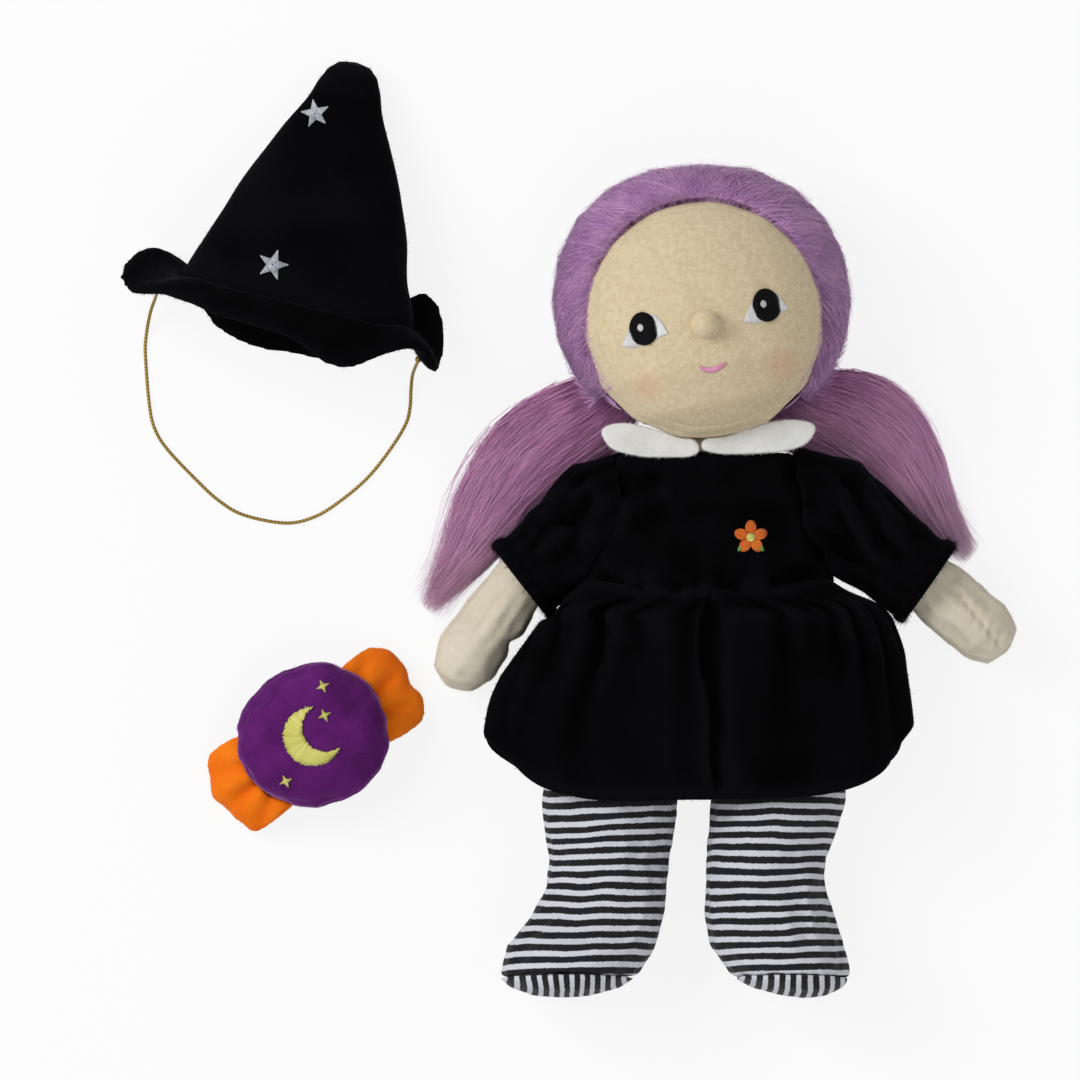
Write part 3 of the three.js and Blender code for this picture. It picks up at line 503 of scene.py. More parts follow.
def knitMaterial(name, dark, light, blush=()):
    material, tree, shader, vector = newMaterial(name, 0.9, 0.12, 0.6)
    group = groupInto(tree, weaveGroup, vector, Threads=3700.0)
    tone = mathNode(tree, "MULTIPLY_ADD", group.outputs["Fleck"], 0.75,
                    mathNode(tree, "MULTIPLY", group.outputs["Height"], 0.2))
    color = mixNode(tree, tone, tint(dark), tint(light))
    for x, y, radius, amount in blush:  # soft rubbed colour on the cheeks
        flat = addNode(tree, "ShaderNodeVectorMath", {0: vector, 1: (1, 1, 0)}, operation="MULTIPLY")
        away = addNode(tree, "ShaderNodeVectorMath", {0: flat.outputs[0], 1: (x * mm, y * mm, 0)},
                       operation="DISTANCE")
        near = stretchNode(tree, away.outputs["Value"], radius * mm, 0.15 * radius * mm,
                           interpolation_type="SMOOTHERSTEP")
        rubbed = mathNode(tree, "MULTIPLY", near,
                          mathNode(tree, "MULTIPLY_ADD", group.outputs["Fleck"], 0.5 * amount, 0.6 * amount))
        color = mixNode(tree, rubbed, color, tint("#e08a76"))
    tree.links.new(color, shader.inputs["Base Color"])
    height = mathNode(tree, "MULTIPLY_ADD", group.outputs["Fleck"], 0.7, group.outputs["Height"])
    bumpInto(tree, shader, height, 0.14, 0.3)
    return material


def stripeMaterial(name, axis, pitch, phase, share, dark, light, bow=0.0, middle=0.0):
    material, tree, shader, vector = newMaterial(name, 0.9, 0.05, 0.5)
    split = addNode(tree, "ShaderNodeSeparateXYZ", {0: vector})
    drift = noiseNode(tree, vector, 22.0, 2.0)
    fray = noiseNode(tree, vector, 700.0, 2.0)
    across = mathNode(tree, "SUBTRACT", split.outputs[1 - axis], middle * mm)
    curve = mathNode(tree, "MULTIPLY", mathNode(tree, "MULTIPLY", across, across), bow / mm)
    wander = mathNode(tree, "MULTIPLY_ADD", drift, 7 * mm, mathNode(tree, "MULTIPLY", fray, 0.7 * mm))
    place = mathNode(tree, "ADD", mathNode(tree, "ADD", split.outputs[axis], curve), wander)
    run = mathNode(tree, "FRACT", mathNode(tree, "MULTIPLY_ADD", place, 1 / (pitch * mm), phase))
    band = mathNode(tree, "ABSOLUTE", mathNode(tree, "SUBTRACT", run, 0.5))
    edge = stretchNode(tree, band, share / 2 - 0.03, share / 2 + 0.03)
    group = groupInto(tree, weaveGroup, vector, Threads=5200.0)
    paint = mixNode(tree, edge, tint(dark), tint(light))
    worn = mixNode(tree, mathNode(tree, "MULTIPLY", group.outputs["Fleck"], 0.06), paint, tint("#5c5a64"))
    tree.links.new(worn, shader.inputs["Base Color"])
    bumpInto(tree, shader, mathNode(tree, "ADD", group.outputs["Height"], group.outputs["Fleck"]), 0.3, 0.4)
    return material


def strandMaterial(name, dark, light, roughness, pale=None, sheen=0.25, shine=0.25):
    material, tree, shader, vector = newMaterial(name, roughness, sheen, 0.4, (1, 1, 1, 1), shine)
    clump = stretchNode(tree, noiseNode(tree, vector, 90.0, 3.0), 0.3, 0.7)
    tone = mathNode(tree, "MULTIPLY_ADD", attributeNode(tree, "tone"), 0.55,
                    mathNode(tree, "MULTIPLY", clump, 0.45))
    color = mixNode(tree, tone, tint(dark), tint(light))
    if pale:
        ends = mathNode(tree, "MULTIPLY", attributeNode(tree, "along"), 0.45)
        color = mixNode(tree, ends, color, tint(pale))
    tree.links.new(color, shader.inputs["Base Color"])
    bumpInto(tree, shader, clump, 0.2, 0.3)
    return material


velourBlack = pileMaterial("velourBlack", "#000000", "#0b0b0e", 900, 30, 0.3, 0.04, (0.55, 0.58, 0.7, 1), 0.3,
                           0.02, 1.3)
velourPurple = pileMaterial("velourPurple", "#3d0c48", "#6f257c", 900, 60, 0.35, 0.9, (0.9, 0.5, 0.95, 1),
                            0.25)
velourOrange = pileMaterial("velourOrange", "#e05a02", "#ff8a18", 900, 40, 0.3, 0.15, (1, 0.75, 0.45, 1))
plushIvory = pileMaterial("plushIvory", "#cabfa8", "#e4dbc9", 700, 50, 0.25, 0.2)
plushWhite = pileMaterial("plushWhite", "#dadad6", "#f4f4f2", 800, 90, 0.3, 0.25)
knitFace = knitMaterial("knitFace", "#c8b28b", "#e4d5b6",
                        [(-23.4, 113.8, 9.5, 0.26), (35.2, 123.4, 10.5, 0.28)])  # x, y, radius, depth
knitCream = knitMaterial("knitCream", "#c8b28b", "#e4d5b6")
stripeLeft = stripeMaterial("stripeLeft", 1, 5.2, 0.1, 0.56, "#0e0d13", "#d6d7e0", 0.0011, 34)
stripeRight = stripeMaterial("stripeRight", 1, 5.2, 0.4, 0.56, "#0e0d13", "#d6d7e0", 0.0009, -39)
stripeSole = stripeMaterial("stripeSole", 0, 4.7, 0.2, 0.56, "#0e0d13", "#d6d7e0")
mohair = strandMaterial("mohair", "#a66fae", "#e3b4e0", 0.6, None, 0.4)
# painted shade: a darker copy of mohair for the tail's core, standing in for the shade that the loose hair
# casts on it
mohairCoreShade = strandMaterial("mohairCoreShade", "#84508a", "#a868a6", 0.8)
mohairLong = strandMaterial("mohairLong", "#bd70af", "#efaedb", 0.6, "#f4d2ea", 0.4)
threadWhite = strandMaterial("threadWhite", "#cfcfd0", "#fafafa", 0.45)
threadBlack = strandMaterial("threadBlack", "#010102", "#0d0d10", 0.6, None, 0.01, 0.08)
threadGrey = strandMaterial("threadGrey", "#b4b6bb", "#e6e7ea", 0.45)
threadPink = strandMaterial("threadPink", "#d378a8", "#f6b4d2", 0.45)
threadSilver = strandMaterial("threadSilver", "#7d828c", "#dfe2e8", 0.4)
threadYellow = strandMaterial("threadYellow", "#b8b340", "#e8e48a", 0.4)
threadOrange = strandMaterial("threadOrange", "#c2500a", "#f0801e", 0.4)
threadGreen = strandMaterial("threadGreen", "#3f8f3a", "#6cc45a", 0.4)
threadCream = strandMaterial("threadCream", "#d8c8a4", "#f2e6cb", 0.6)
print("stage: finishes made")

# hat elastic
elastic = {"diameter": 1.5, "twists": 165, "steps": 340, "sides": 10, "knotGap": 2.4,
           "knotRadii": (1.25, 0.85), "knotTurn": (0.9, 0.3, 0.4), "route": [
    (-235.5, 156.7, 24.2), (-237, 153, 15), (-239.1, 147.8, 7), (-240.8, 140.5, 2), (-241.7, 133.5, 0.9),
    (-241.6, 126.4, 0.9), (-240.2, 108.6, 0.9), (-238, 97.3, 0.9), (-232.4, 87.7, 0.9), (-219.3, 73.8, 0.9),
    (-209.3, 64.7, 0.9), (-198.5, 58.6, 0.9), (-180.7, 55.2, 0.9), (-168.1, 57.8, 0.9), (-156.8, 64.7, 0.9),
    (-144.6, 75.1, 0.9), (-134.6, 87.7, 0.9), (-128, 98.6, 0.9), (-126.2, 106, 0.9), (-125.8, 113, 2),
    (-125.2, 119, 7), (-124, 122.5, 15), (-122.3, 125.9, 25.3)]}


def smoothRoute(points, count):  # one even curve through the route's points
    points = np.array(points, float)
    padded = np.vstack([2 * points[0] - points[1], points, 2 * points[-1] - points[-2]])
    fine = []
    for i in range(len(points) - 1):
        a, b, c, d = padded[i:i + 4]
        for t in np.linspace(0, 1, 24, endpoint=False):
            fine.append(0.5 * (2 * b + (c - a) * t + (2 * a - 5 * b + 4 * c - d) * t * t
                               + (3 * b - a - 3 * c + d) * t ** 3))
    fine.append(points[-1])
    fine = np.array(fine)
    run = np.concatenate([[0], np.cumsum(np.linalg.norm(np.diff(fine, axis=0), axis=1))])
    even = np.linspace(0, run[-1], count)
    return np.stack([np.interp(even, run, fine[:, k]) for k in range(3)], axis=1), run[-1]


goldElastic, goldTree, goldShader, _ = newMaterial("goldElastic", 0.38)
goldShader.inputs["Metallic"].default_value = 0.55
goldWrap = mathNode(goldTree, "MULTIPLY_ADD", attributeNode(goldTree, "along"), elastic["twists"],
                    attributeNode(goldTree, "tone"))
goldBand = mathNode(goldTree, "SUBTRACT", mathNode(goldTree, "FRACT", goldWrap), 0.5)
goldBand = mathNode(goldTree, "ABSOLUTE", goldBand)
goldColor = mixNode(goldTree, mathNode(goldTree, "MULTIPLY", goldBand, 2.0), tint("#6a521a"), tint("#a98b42"))
goldTree.links.new(goldColor, goldShader.inputs["Base Color"])
bumpInto(goldTree, goldShader, goldBand, 0.6, 0.4)


def makeElastic():
    steps, sides = elastic["steps"], elastic["sides"]
    route, length = smoothRoute(elastic["route"], steps)
    piece = strandMesh("hatElastic", route[None] * mm, [elastic["diameter"]], [0.0], sides=sides, tip=1.0)
    wrap = np.tile(np.arange(sides) / sides, steps)  # the wrap climbs round the cord
    piece.data.attributes["tone"].data.foreach_set("value", wrap)
    dress(piece, goldElastic)
    ring, thick = elastic["knotRadii"]
    for name, end, before in (("left", route[0], route[1]), ("right", route[-1], route[-2])):
        place = end + elastic["knotGap"] * unit(end - before)
        bpy.ops.mesh.primitive_torus_add(location=[c * mm for c in place], rotation=elastic["knotTurn"],
                                         major_segments=20, minor_segments=10, major_radius=ring * mm,
                                         minor_radius=thick * mm)
        knot = bpy.context.object
        knot.name = "elasticKnot" + name.capitalize()
        bpy.ops.object.transform_apply(location=True, rotation=True, scale=True)
        co = pointsOf(knot)
        middle = co.mean(axis=0)
        ball = middle + (co - middle) * 0.5  # pulled tight: the ring closes on itself
        lumps = np.array([noise.noise(Vector(p) * 900) for p in co])
        movePoints(knot, ball + (co - middle) * (0.45 + 0.25 * lumps[:, None]))
        dress(knot, goldElastic)
        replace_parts(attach(knot, "hat"), "elastic_knot_" + name)
    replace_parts(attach(piece, "hat"), "hat_elastic")


deselectAll()
makeElastic()
print("stage: elastic laid")


# stuffed pieces
sides = ("left", "right")
stuffedPieces = {
    "torso": {"nodes": ["body_front", "body_back", "body_stuffing"], "voxel": 4, "body": "doll_body"},
    "head": {"nodes": ["face_panel", "head_back", "head_stuffing"], "voxel": 2.6, "body": "head"},
}
for limb, voxel in (("arm", 2.2), ("leg", 2.4)):
    for side in sides:
        nodes = [limb + part + side for part in ("_front_", "_back_", "_stuffing_")]
        stuffedPieces[limb + side.capitalize()] = {"nodes": nodes, "voxel": voxel, "body": limb + "_" + side}


def stuffedPiece(name):
    plan = stuffedPieces[name]
    return softCopy(name, plan["nodes"], plan["voxel"], 6)


def finishStuffed(piece, name, material):
    plan = stuffedPieces[name]
    dress(piece, material)
    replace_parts(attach(piece, plan["body"]), *plan["nodes"])


torso = stuffedPiece("torso")
cutFlat(torso, 19.5, (0, 1, 0))  # ends inside the bodice's waist
finishStuffed(torso, "torso", knitCream)

# head and face
face = {"middle": (1.3, 144.0), "tilt": 11.0, "radius": 51.5, "seamZ": 56.0, "stitchRadius": 47.6,
        "stitches": 230, "frontZ": 58, "swell": (0.35, 16, 4.0),
        "seamDent": (1.1, 1.2), "stitchDent": (0.7, 0.35)}  # half width and depth of a dent


def makeHead():
    piece = stuffedPiece("head")
    subdivide(piece)
    co, no = pointsOf(piece), normalsOf(piece)
    (seamHalf, seamDeep), (lineHalf, lineDeep) = face["seamDent"], face["stitchDent"]
    groove = np.exp(-((co[:, 2] - face["seamZ"] * mm) / (seamHalf * mm)) ** 2)  # sewn edge of the face disc
    dx, dy = co[:, 0] - face["middle"][0] * mm, co[:, 1] - face["middle"][1] * mm
    off = np.hypot(dx, dy) - face["stitchRadius"] * mm
    stitched = np.exp(-(off / (lineHalf * mm)) ** 2) * (co[:, 2] > face["frontZ"] * mm)
    movePoints(piece, co - no * (groove * seamDeep * mm + stitched * lineDeep * mm)[:, None])
    swell(piece, *face["swell"])
    finishStuffed(piece, "head", knitFace)
    return piece


head = makeHead()
headTop = surfaceOf(head)
lines = []
for i in range(face["stitches"]):  # running stitch round the face, 1.3 mm a stitch
    lines.append([turned(face["stitchRadius"], 0, -205 + i * 1.57 + part, face["middle"]) for part in (0, 1)])
embroider("faceStitch", lines, headTop, (0.45, 5, 0.12, 0.02), (threadCream, "cotton_knit"), "head")

nosePlan = {"place": (1.7, 140.7), "radius": 6.2, "raised": 0.36, "neck": (2.6, 3.5), "drawn": 0.22,
            "pleats": (11, 0.175), "swell": (0.25, 6, 2.0)}


def makeNose():
    x, y = nosePlan["place"]
    z = heightOn(headTop, x * mm, y * mm)
    middleZ = z + nosePlan["raised"] * nosePlan["radius"] * mm
    bpy.ops.mesh.primitive_uv_sphere_add(segments=40, ring_count=24, radius=nosePlan["radius"] * mm,
                                         location=(x * mm, y * mm, middleZ))
    piece = bpy.context.object
    piece.name = "noseBall"
    bpy.ops.object.transform_apply(location=True, rotation=True, scale=True)
    co = pointsOf(piece)
    top, span = nosePlan["neck"]
    low = np.clip((z + top * mm - co[:, 2]) / (span * mm), 0, 1)  # drawn in where the thread gathers it
    angle = np.arctan2(co[:, 1] - y * mm, co[:, 0] - x * mm)
    count, depth = nosePlan["pleats"]
    pull = 1 - nosePlan["drawn"] * low * (1 + depth * np.sin(count * angle))
    co[:, 0] = x * mm + (co[:, 0] - x * mm) * pull
    co[:, 1] = y * mm + (co[:, 1] - y * mm) * pull
    movePoints(piece, co)
    swell(piece, *nosePlan["swell"])
    dress(piece, knitCream)
    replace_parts(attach(piece, "head"), "nose")


makeNose()

eyes = {
    "left": {"iris": (28.0, 149.0), "white": [
        (18, 141.6), (20, 146.8), (22.6, 151.6), (27.4, 155.3), (32.1, 154.6),
        (34.9, 151.4), (37.2, 147.7), (33.4, 145.3), (28.7, 142.5), (23, 140.9)]},
    "right": {"iris": (-25.0, 138.8), "white": [
        (-34.3, 131.3), (-31.9, 137.5), (-29.5, 142.5), (-24.8, 145.6), (-20, 144.8),
        (-16.7, 141.1), (-14.5, 136.6), (-19.1, 134.5), (-24.8, 131.6), (-29.5, 130.5)]},
    "irisHalf": (6.1, 7.2), "glintHalf": (1.15, 1.6), "glintOff": (-1.3, 0.4), "pitch": 0.42, "thread": 0.55,
}


def hatch(outline, angle, pitch):  # parallel threads that fill an outline
    outline = np.array(outline, float)
    level = np.stack(turnedBack(outline[:, 0], outline[:, 1], angle), axis=1)
    found = []
    for row in np.arange(level[:, 1].min() + pitch / 2, level[:, 1].max(), pitch):
        cuts = []
        for p, q in zip(level, np.roll(level, -1, axis=0)):
            if (p[1] <= row) != (q[1] <= row):
                cuts.append(p[0] + (row - p[1]) / (q[1] - p[1]) * (q[0] - p[0]))
        cuts.sort()
        for u, v in zip(cuts[::2], cuts[1::2]):
            if v - u > 0.4:
                found.append([turned(u, row, angle), turned(v, row, angle)])
    return found


def ovalOutline(x, y, halfWidth, halfLength, turn, egg=0.0):
    points = []
    for i in range(40):
        t = 2 * math.pi * i / 40
        u, v = halfWidth * math.cos(t) * (1 - egg * math.sin(t)), halfLength * math.sin(t)
        points.append(turned(u, v, turn, (x, y)))
    return points


for side in sides:
    plan, label, tilt = eyes[side], side.capitalize(), face["tilt"]
    ix, iy = plan["iris"]
    white = hatch(plan["white"], tilt + 80, eyes["pitch"])
    ring = hatch(ovalOutline(ix, iy, *eyes["irisHalf"], tilt, 0.08), tilt + 4, eyes["pitch"])
    gx, gy = ix + eyes["glintOff"][0], iy + eyes["glintOff"][1]
    glint = hatch(ovalOutline(gx, gy, *eyes["glintHalf"], tilt), tilt + 90, 0.4)
    for name, lines, thread, finish, node in (
            ("eyeWhite", white, (eyes["thread"], 7, 0.5, 0.15), (threadWhite, "thread_white"), "eye_white_"),
            ("iris", ring, (eyes["thread"], 8, 0.75, 0.55), (threadBlack, "thread_black"), "iris_"),
            ("glint", glint, (0.5, 9, 0.4, 1.5), (threadGrey, "thread_silver"), None)):
        embroider(name + label, lines, headTop, thread, finish, "head", node and node + side)

mouthPlan = {"ends": [(-0.5, 122.2), (4.8, 118.9), (10.4, 124.0)], "band": 2.3, "threads": 30}
lines = []
for i in range(mouthPlan["threads"]):
    t = i / (mouthPlan["threads"] - 1)
    a, b, c = (np.array(p) for p in mouthPlan["ends"])
    spot = (1 - t) ** 2 * a + 2 * t * (1 - t) * b + t * t * c
    slope = unit(2 * (1 - t) * (b - a) + 2 * t * (c - b))
    half = mouthPlan["band"] / 2 * (0.35 + 0.65 * math.sin(math.pi * t) ** 0.7)
    lean = np.array([-slope[1], slope[0]]) + 0.35 * slope
    lines.append([tuple(spot - lean * half), tuple(spot + lean * half)])
embroider("mouthStitch", lines, headTop, (0.55, 11, 0.5, 0.1), (threadPink, "thread_pink"), "head", "mouth")
print("stage: head and face made")

# hair
hair = {"middle": (0.5, 152, 36.5), "count": 5600, "wisps": 2400, "steps": 6, "width": 0.27,
        "parting": 97, "spread": 134, "jaw": {1: -44, -1: 224},  # degrees; strands stop short of the jaw
        "edge": (-1.8, 0.6), "edgeShare": 0.6, "deep": (0.6, 12),  # roots beside the face or further back
        "share": {False: (0.45, 1.0), True: (0.3, 0.75)},  # length, for combed hair and for wisps
        "flare": {False: (-0.4, 1.6), True: (0.5, 7.5)}, "drop": 1.95}


def makeHairCap():
    base = softCopy("hairCap", ["hair_cap"], 2.6, 4)
    surface = surfaceOf(base)
    movePoints(base, pointsOf(base) - normalsOf(base) * 0.9 * mm)
    dress(base, mohair)
    middle = np.array(hair["middle"]) * mm
    places = [Vector((math.atan2(p[1], p[0]) * 24, p[2] * 90, 1.5)) for p in pointsOf(base) - middle]
    writeValue(base, "tone", [0.3 + 0.5 * noise.noise(place) for place in places])  # streaks
    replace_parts(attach(base, "head"), "hair_cap")
    dice = np.random.default_rng(21)
    for side, name in ((1, "Left"), (-1, "Right")):
        paths, tones, widths = [], [], []
        limit = math.radians(hair["jaw"][side])
        for i in range((hair["count"] + hair["wisps"]) // 2):
            wisp = i >= hair["count"] // 2
            spread = dice.uniform(0, 1) ** 1.08
            around = math.radians(hair["parting"] - side * (spread * hair["spread"] - 3 + dice.normal(0, 4)))
            clump = noise.noise(Vector((around * 7, 3.1, side * 0.7)))
            curl = noise.noise(Vector((around * 16, 8.2, side * 1.9)))
            inset = hair["edge"] if dice.uniform() < hair["edgeShare"] else hair["deep"]
            reach = face["radius"] + dice.uniform(*inset)
            x = face["middle"][0] + reach * math.cos(around)
            y = face["middle"][1] + reach * math.sin(around)
            z = max(heightOn(under, x * mm, y * mm) or 0 for under in (surface, headTop)) or middle[2]
            away = np.array((x * mm, y * mm, z)) - middle
            turn = math.atan2(away[1], away[0])
            fall = math.acos(np.clip(away[2] / np.linalg.norm(away), -1, 1))
            turn += 2 * math.pi if side < 0 and turn < 0 else 0
            sweep = side * (0.36 + 0.3 * dice.normal(0, 1) + 0.25 * curl)
            share = dice.uniform(*hair["share"][wisp])
            lift = 0.2 + 1.9 * dice.uniform() ** 2 + 0.6 * max(clump, -0.2)
            flare = dice.uniform(*hair["flare"][wisp])
            wave, phase = dice.normal(0, 0.035), dice.uniform(0, 6.3)
            path = []
            for step in range(hair["steps"]):
                s = share * step / (hair["steps"] - 1)
                ripple = wave * (math.sin(6 * s + phase) - math.sin(phase))
                a = turn - sweep * s * (1.35 - 0.35 * s) + ripple
                a = max(a, limit) if side > 0 else min(a, limit)
                f = fall + (hair["drop"] - fall) * s ** 1.12
                way = np.array((math.sin(f) * math.cos(a), math.sin(f) * math.sin(a), math.cos(f)))
                hit = surface.ray_cast(Vector(middle + way * 0.12), Vector(-way))[0]
                spot = np.array(hit) if hit and step else middle + way * np.linalg.norm(away)
                rise = lift * math.sin(math.pi * min(0.06 + s, 1)) + flare * s * s
                path.append(spot + way * rise * mm)
            paths.append(path)
            tones.append(np.clip(0.5 + 0.45 * curl + 0.2 * clump + dice.normal(0, 0.2), 0, 1))
            widths.append(hair["width"] * (0.42 if wisp else dice.uniform(0.6, 1.35)))
        paths = np.array(paths)
        paths[:, :, 2] = np.maximum(paths[:, :, 2], 0.4 * mm)
        combed = strandMesh("hairStrands" + name, paths, widths, tones, tip=0.3)
        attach(dress(combed, mohair), "head")


def makeTie(side):
    tie = softCopy("hairTie" + side.capitalize(), ["hair_tie_" + side], 1.0, 3)
    co, no = pointsOf(tie), normalsOf(tie)
    pushAlong(tie, co, no, 0.35 * np.sin(co[:, 1] / mm * 3))
    dress(tie, mohair)
    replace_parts(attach(tie, "head"), "hair_tie_" + side)


bunches = {
    "left": {"tieX": 37, "turn": -130.8, "length": 99, "bow": -11.5, "halfWidth": 21.5, "seed": 31},
    "right": {"tieX": -35, "turn": 138.2, "length": 115, "bow": 10, "halfWidth": 19.5, "seed": 32},
    "tieY": 112, "tieZ": 18, "halfDepth": 9.5, "core": 0.84, "count": 4800, "steps": 6, "width": 0.27,
    "begins": 0.5, "ends": (1.1, 0.62), "strays": 0.22, "gaps": {"sleeve": 0.8, "head": 0.3, "bodice": 0.5},
}


def makeBunch(name, sleeve):
    plan = bunches[name]
    base = softCopy("hairBunch" + name.capitalize(), ["hair_bunch_" + name], 2.2, 5)
    tie = (plan["tieX"], bunches["tieY"])
    length, bow, wide, deep = plan["length"], plan["bow"], plan["halfWidth"], bunches["halfDepth"]
    lie = deep - 0.5
    stations = np.array([  # distance along the tail, bend, height, half width, half depth
        [0, 0, bunches["tieZ"], 13, 8],
        [0.12 * length, 0.2 * bow, lie + 5, wide, deep - 0.5],
        [0.28 * length, 0.72 * bow, lie + 1.5, 1.14 * wide, deep],
        [0.48 * length, 0.9 * bow, lie, 1.05 * wide, deep],
        [0.7 * length, 0.6 * bow, lie, 0.85 * wide, deep],
        [0.89 * length, 0.15 * bow, lie - 3, 0.5 * wide, deep - 3],
        [1.1 * length, -0.05 * bow, lie - 6, 0.16 * wide, deep - 7]])

    def section(at):
        return (easeThrough(at, stations[:, 0], stations[:, k]) for k in (1, 2, 3, 4))
    co = pointsOf(base) / mm
    x, y = turnedBack(co[:, 0] - tie[0], co[:, 1] - tie[1], plan["turn"])
    x0, z0, hw, hd = section(np.clip(y * bunches["core"], 0, length))
    out = np.hypot((x - x0) / hw, (co[:, 2] - z0) / np.maximum(hd, 1))
    inside = 0.7 - 0.3 * np.clip(y / length, 0, 1)  # the core hides in the loose hair
    slim = np.minimum(1, inside / np.maximum(out, 1e-6))
    co[:, 0], co[:, 1] = turned(x0 + (x - x0) * slim, y * bunches["core"], plan["turn"], tie)
    co[:, 2] = z0 + (co[:, 2] - z0) * slim
    movePoints(base, co * mm)
    subdivide(base)
    restOnTable(base, 0.3)
    # painted shade: the core is coloured darker for the shade inside the tail
    dress(base, mohairCoreShade)
    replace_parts(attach(base, "bunch_" + name), "hair_bunch_" + name)
    dice = np.random.default_rng(plan["seed"])
    count, steps = bunches["count"], bunches["steps"]
    reach = dice.uniform(0, 1, count) ** 0.33
    angle = dice.uniform(0, 2 * math.pi, count)
    ending = bunches["ends"][0] - bunches["ends"][1] * dice.uniform(0, 1, count) ** 1.25
    begin = bunches["begins"] * dice.uniform(0, 1, count) ** 1.6
    stray = dice.uniform(0, 1, count) < bunches["strays"]
    clump = np.array([noise.noise(Vector((math.cos(a) * 3.2, math.sin(a) * 3.2, plan["seed"] + 2 * r)))
                      for a, r in zip(angle, reach)])
    run = begin[:, None] + (ending - begin)[:, None] * np.linspace(0, 1, steps)[None, :]
    y = run * length
    x0, z0, hw, hd = section(y)
    phase = dice.uniform(0, 6.3, count)[:, None]
    sway = (0.4 + 1.2 * clump)[:, None] * np.sin(y / 15 + 5 * clump[:, None]) * run
    sway = sway + 0.5 * np.sin(y / 9 + phase)
    wander = dice.normal(0, 1, (2, count, 1)) * np.where(stray, 2.6, 1.0)[:, None]
    lean = angle[:, None] + 0.35 * wander[0] * (run - 0.3)
    out = reach[:, None] * (1 + 0.1 * wander[1] * (run - 0.2)) * np.where(stray, 1.06, 1.0)[:, None]
    x = x0 + hw * out * np.cos(lean) + sway + 1.3 * wander[1] * run ** 2
    z = z0 + np.maximum(hd, 1.5) * out * np.sin(lean) + 0.4 * sway
    z = np.maximum(z, 0.5 + 0.4 * dice.uniform(0, 1, count)[:, None])
    paths = np.stack([*turned(x, y, plan["turn"], tie), z], axis=2) * mm
    up, down = Vector((0, 0, 1)), Vector((0, 0, -1))
    gaps = bunches["gaps"]
    solids = ((sleeve, gaps["sleeve"]), (headTop, gaps["head"]), (bodiceTop, gaps["bodice"]))
    kept = []
    for i, strand in enumerate(paths):  # hair that would run into the sleeve or the head ends there
        clear = 0
        for spot in strand:
            spot = Vector(spot)
            if any(surface.find_nearest(spot, gap * mm)[0]
                   or (surface.ray_cast(spot, up)[0] and surface.ray_cast(spot, down)[0])
                   for surface, gap in solids):
                break
            clear += 1
        if clear >= 3:
            way = np.linspace(0, clear - 1, steps)
            even = [np.interp(way, np.arange(steps), strand[:, k]) for k in range(3)]
            paths[i] = np.stack(even, axis=1)
            kept.append(i)
    paths, clump, count = paths[kept], clump[kept], len(kept)
    paths[:, :, 2] = np.maximum(paths[:, :, 2], 0.3 * mm)
    tones = np.clip(0.5 + 0.6 * clump + dice.normal(0, 0.22, count), 0, 1)
    widths = bunches["width"] * dice.uniform(0.5, 1.3, count)
    strands = strandMesh("hairTail" + name.capitalize(), paths, widths, tones, tip=0.2)
    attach(dress(strands, mohairLong), "bunch_" + name)


makeHairCap()
for side in sides:
    makeTie(side)
print("stage: hair cap made")


# arms
limbSoft = {"pressure": 3.0, "frames": 14, "cap": 2.0, "shrink": -0.02, "stiff": 10, "bend": 0.6,
            "heldHalf": 1.6}
armPlans = {
    "left": {"pivot": (68.3, 55), "turn": 40, "side": 1, "seed": 6.0},
    "right": {"pivot": (-60.3, 55), "turn": 55, "side": -1, "seed": 9.0},
    "seamZ": 19.0, "groove": (1.1, 0.9), "sewnTo": 34, "swell": (0.7, 14),
    "thumb": (-80.8, 2.0, 4, 3, 2.4),  # x, y, half widths and depth of the notch
    "pucker": ((112.0, 25.2), (130.3, 2.2)),
    "fluff": {"count": 5000, "length": 0.5, "width": 0.15, "lean": 0.8},
}


def seamGroove(co, no, plan):  # the dent along a side seam
    half, deep = plan["groove"]
    return deep * (np.exp(-((co[:, 2] / mm - plan["seamZ"]) / half) ** 2) * (1 - np.abs(no[:, 2])))


def onSeam(co, plan):  # the points that a side seam holds while the piece is inflated
    return np.abs(co[:, 2] - plan["seamZ"] * mm) < limbSoft["heldHalf"] * mm


def armFrame(co, plan):  # distance along the arm
    angle = math.radians(plan["turn"])
    way = np.array([plan["side"] * math.cos(angle), -math.sin(angle)])
    flat = co[:, :2] / mm - np.array(plan["pivot"])
    return flat @ way


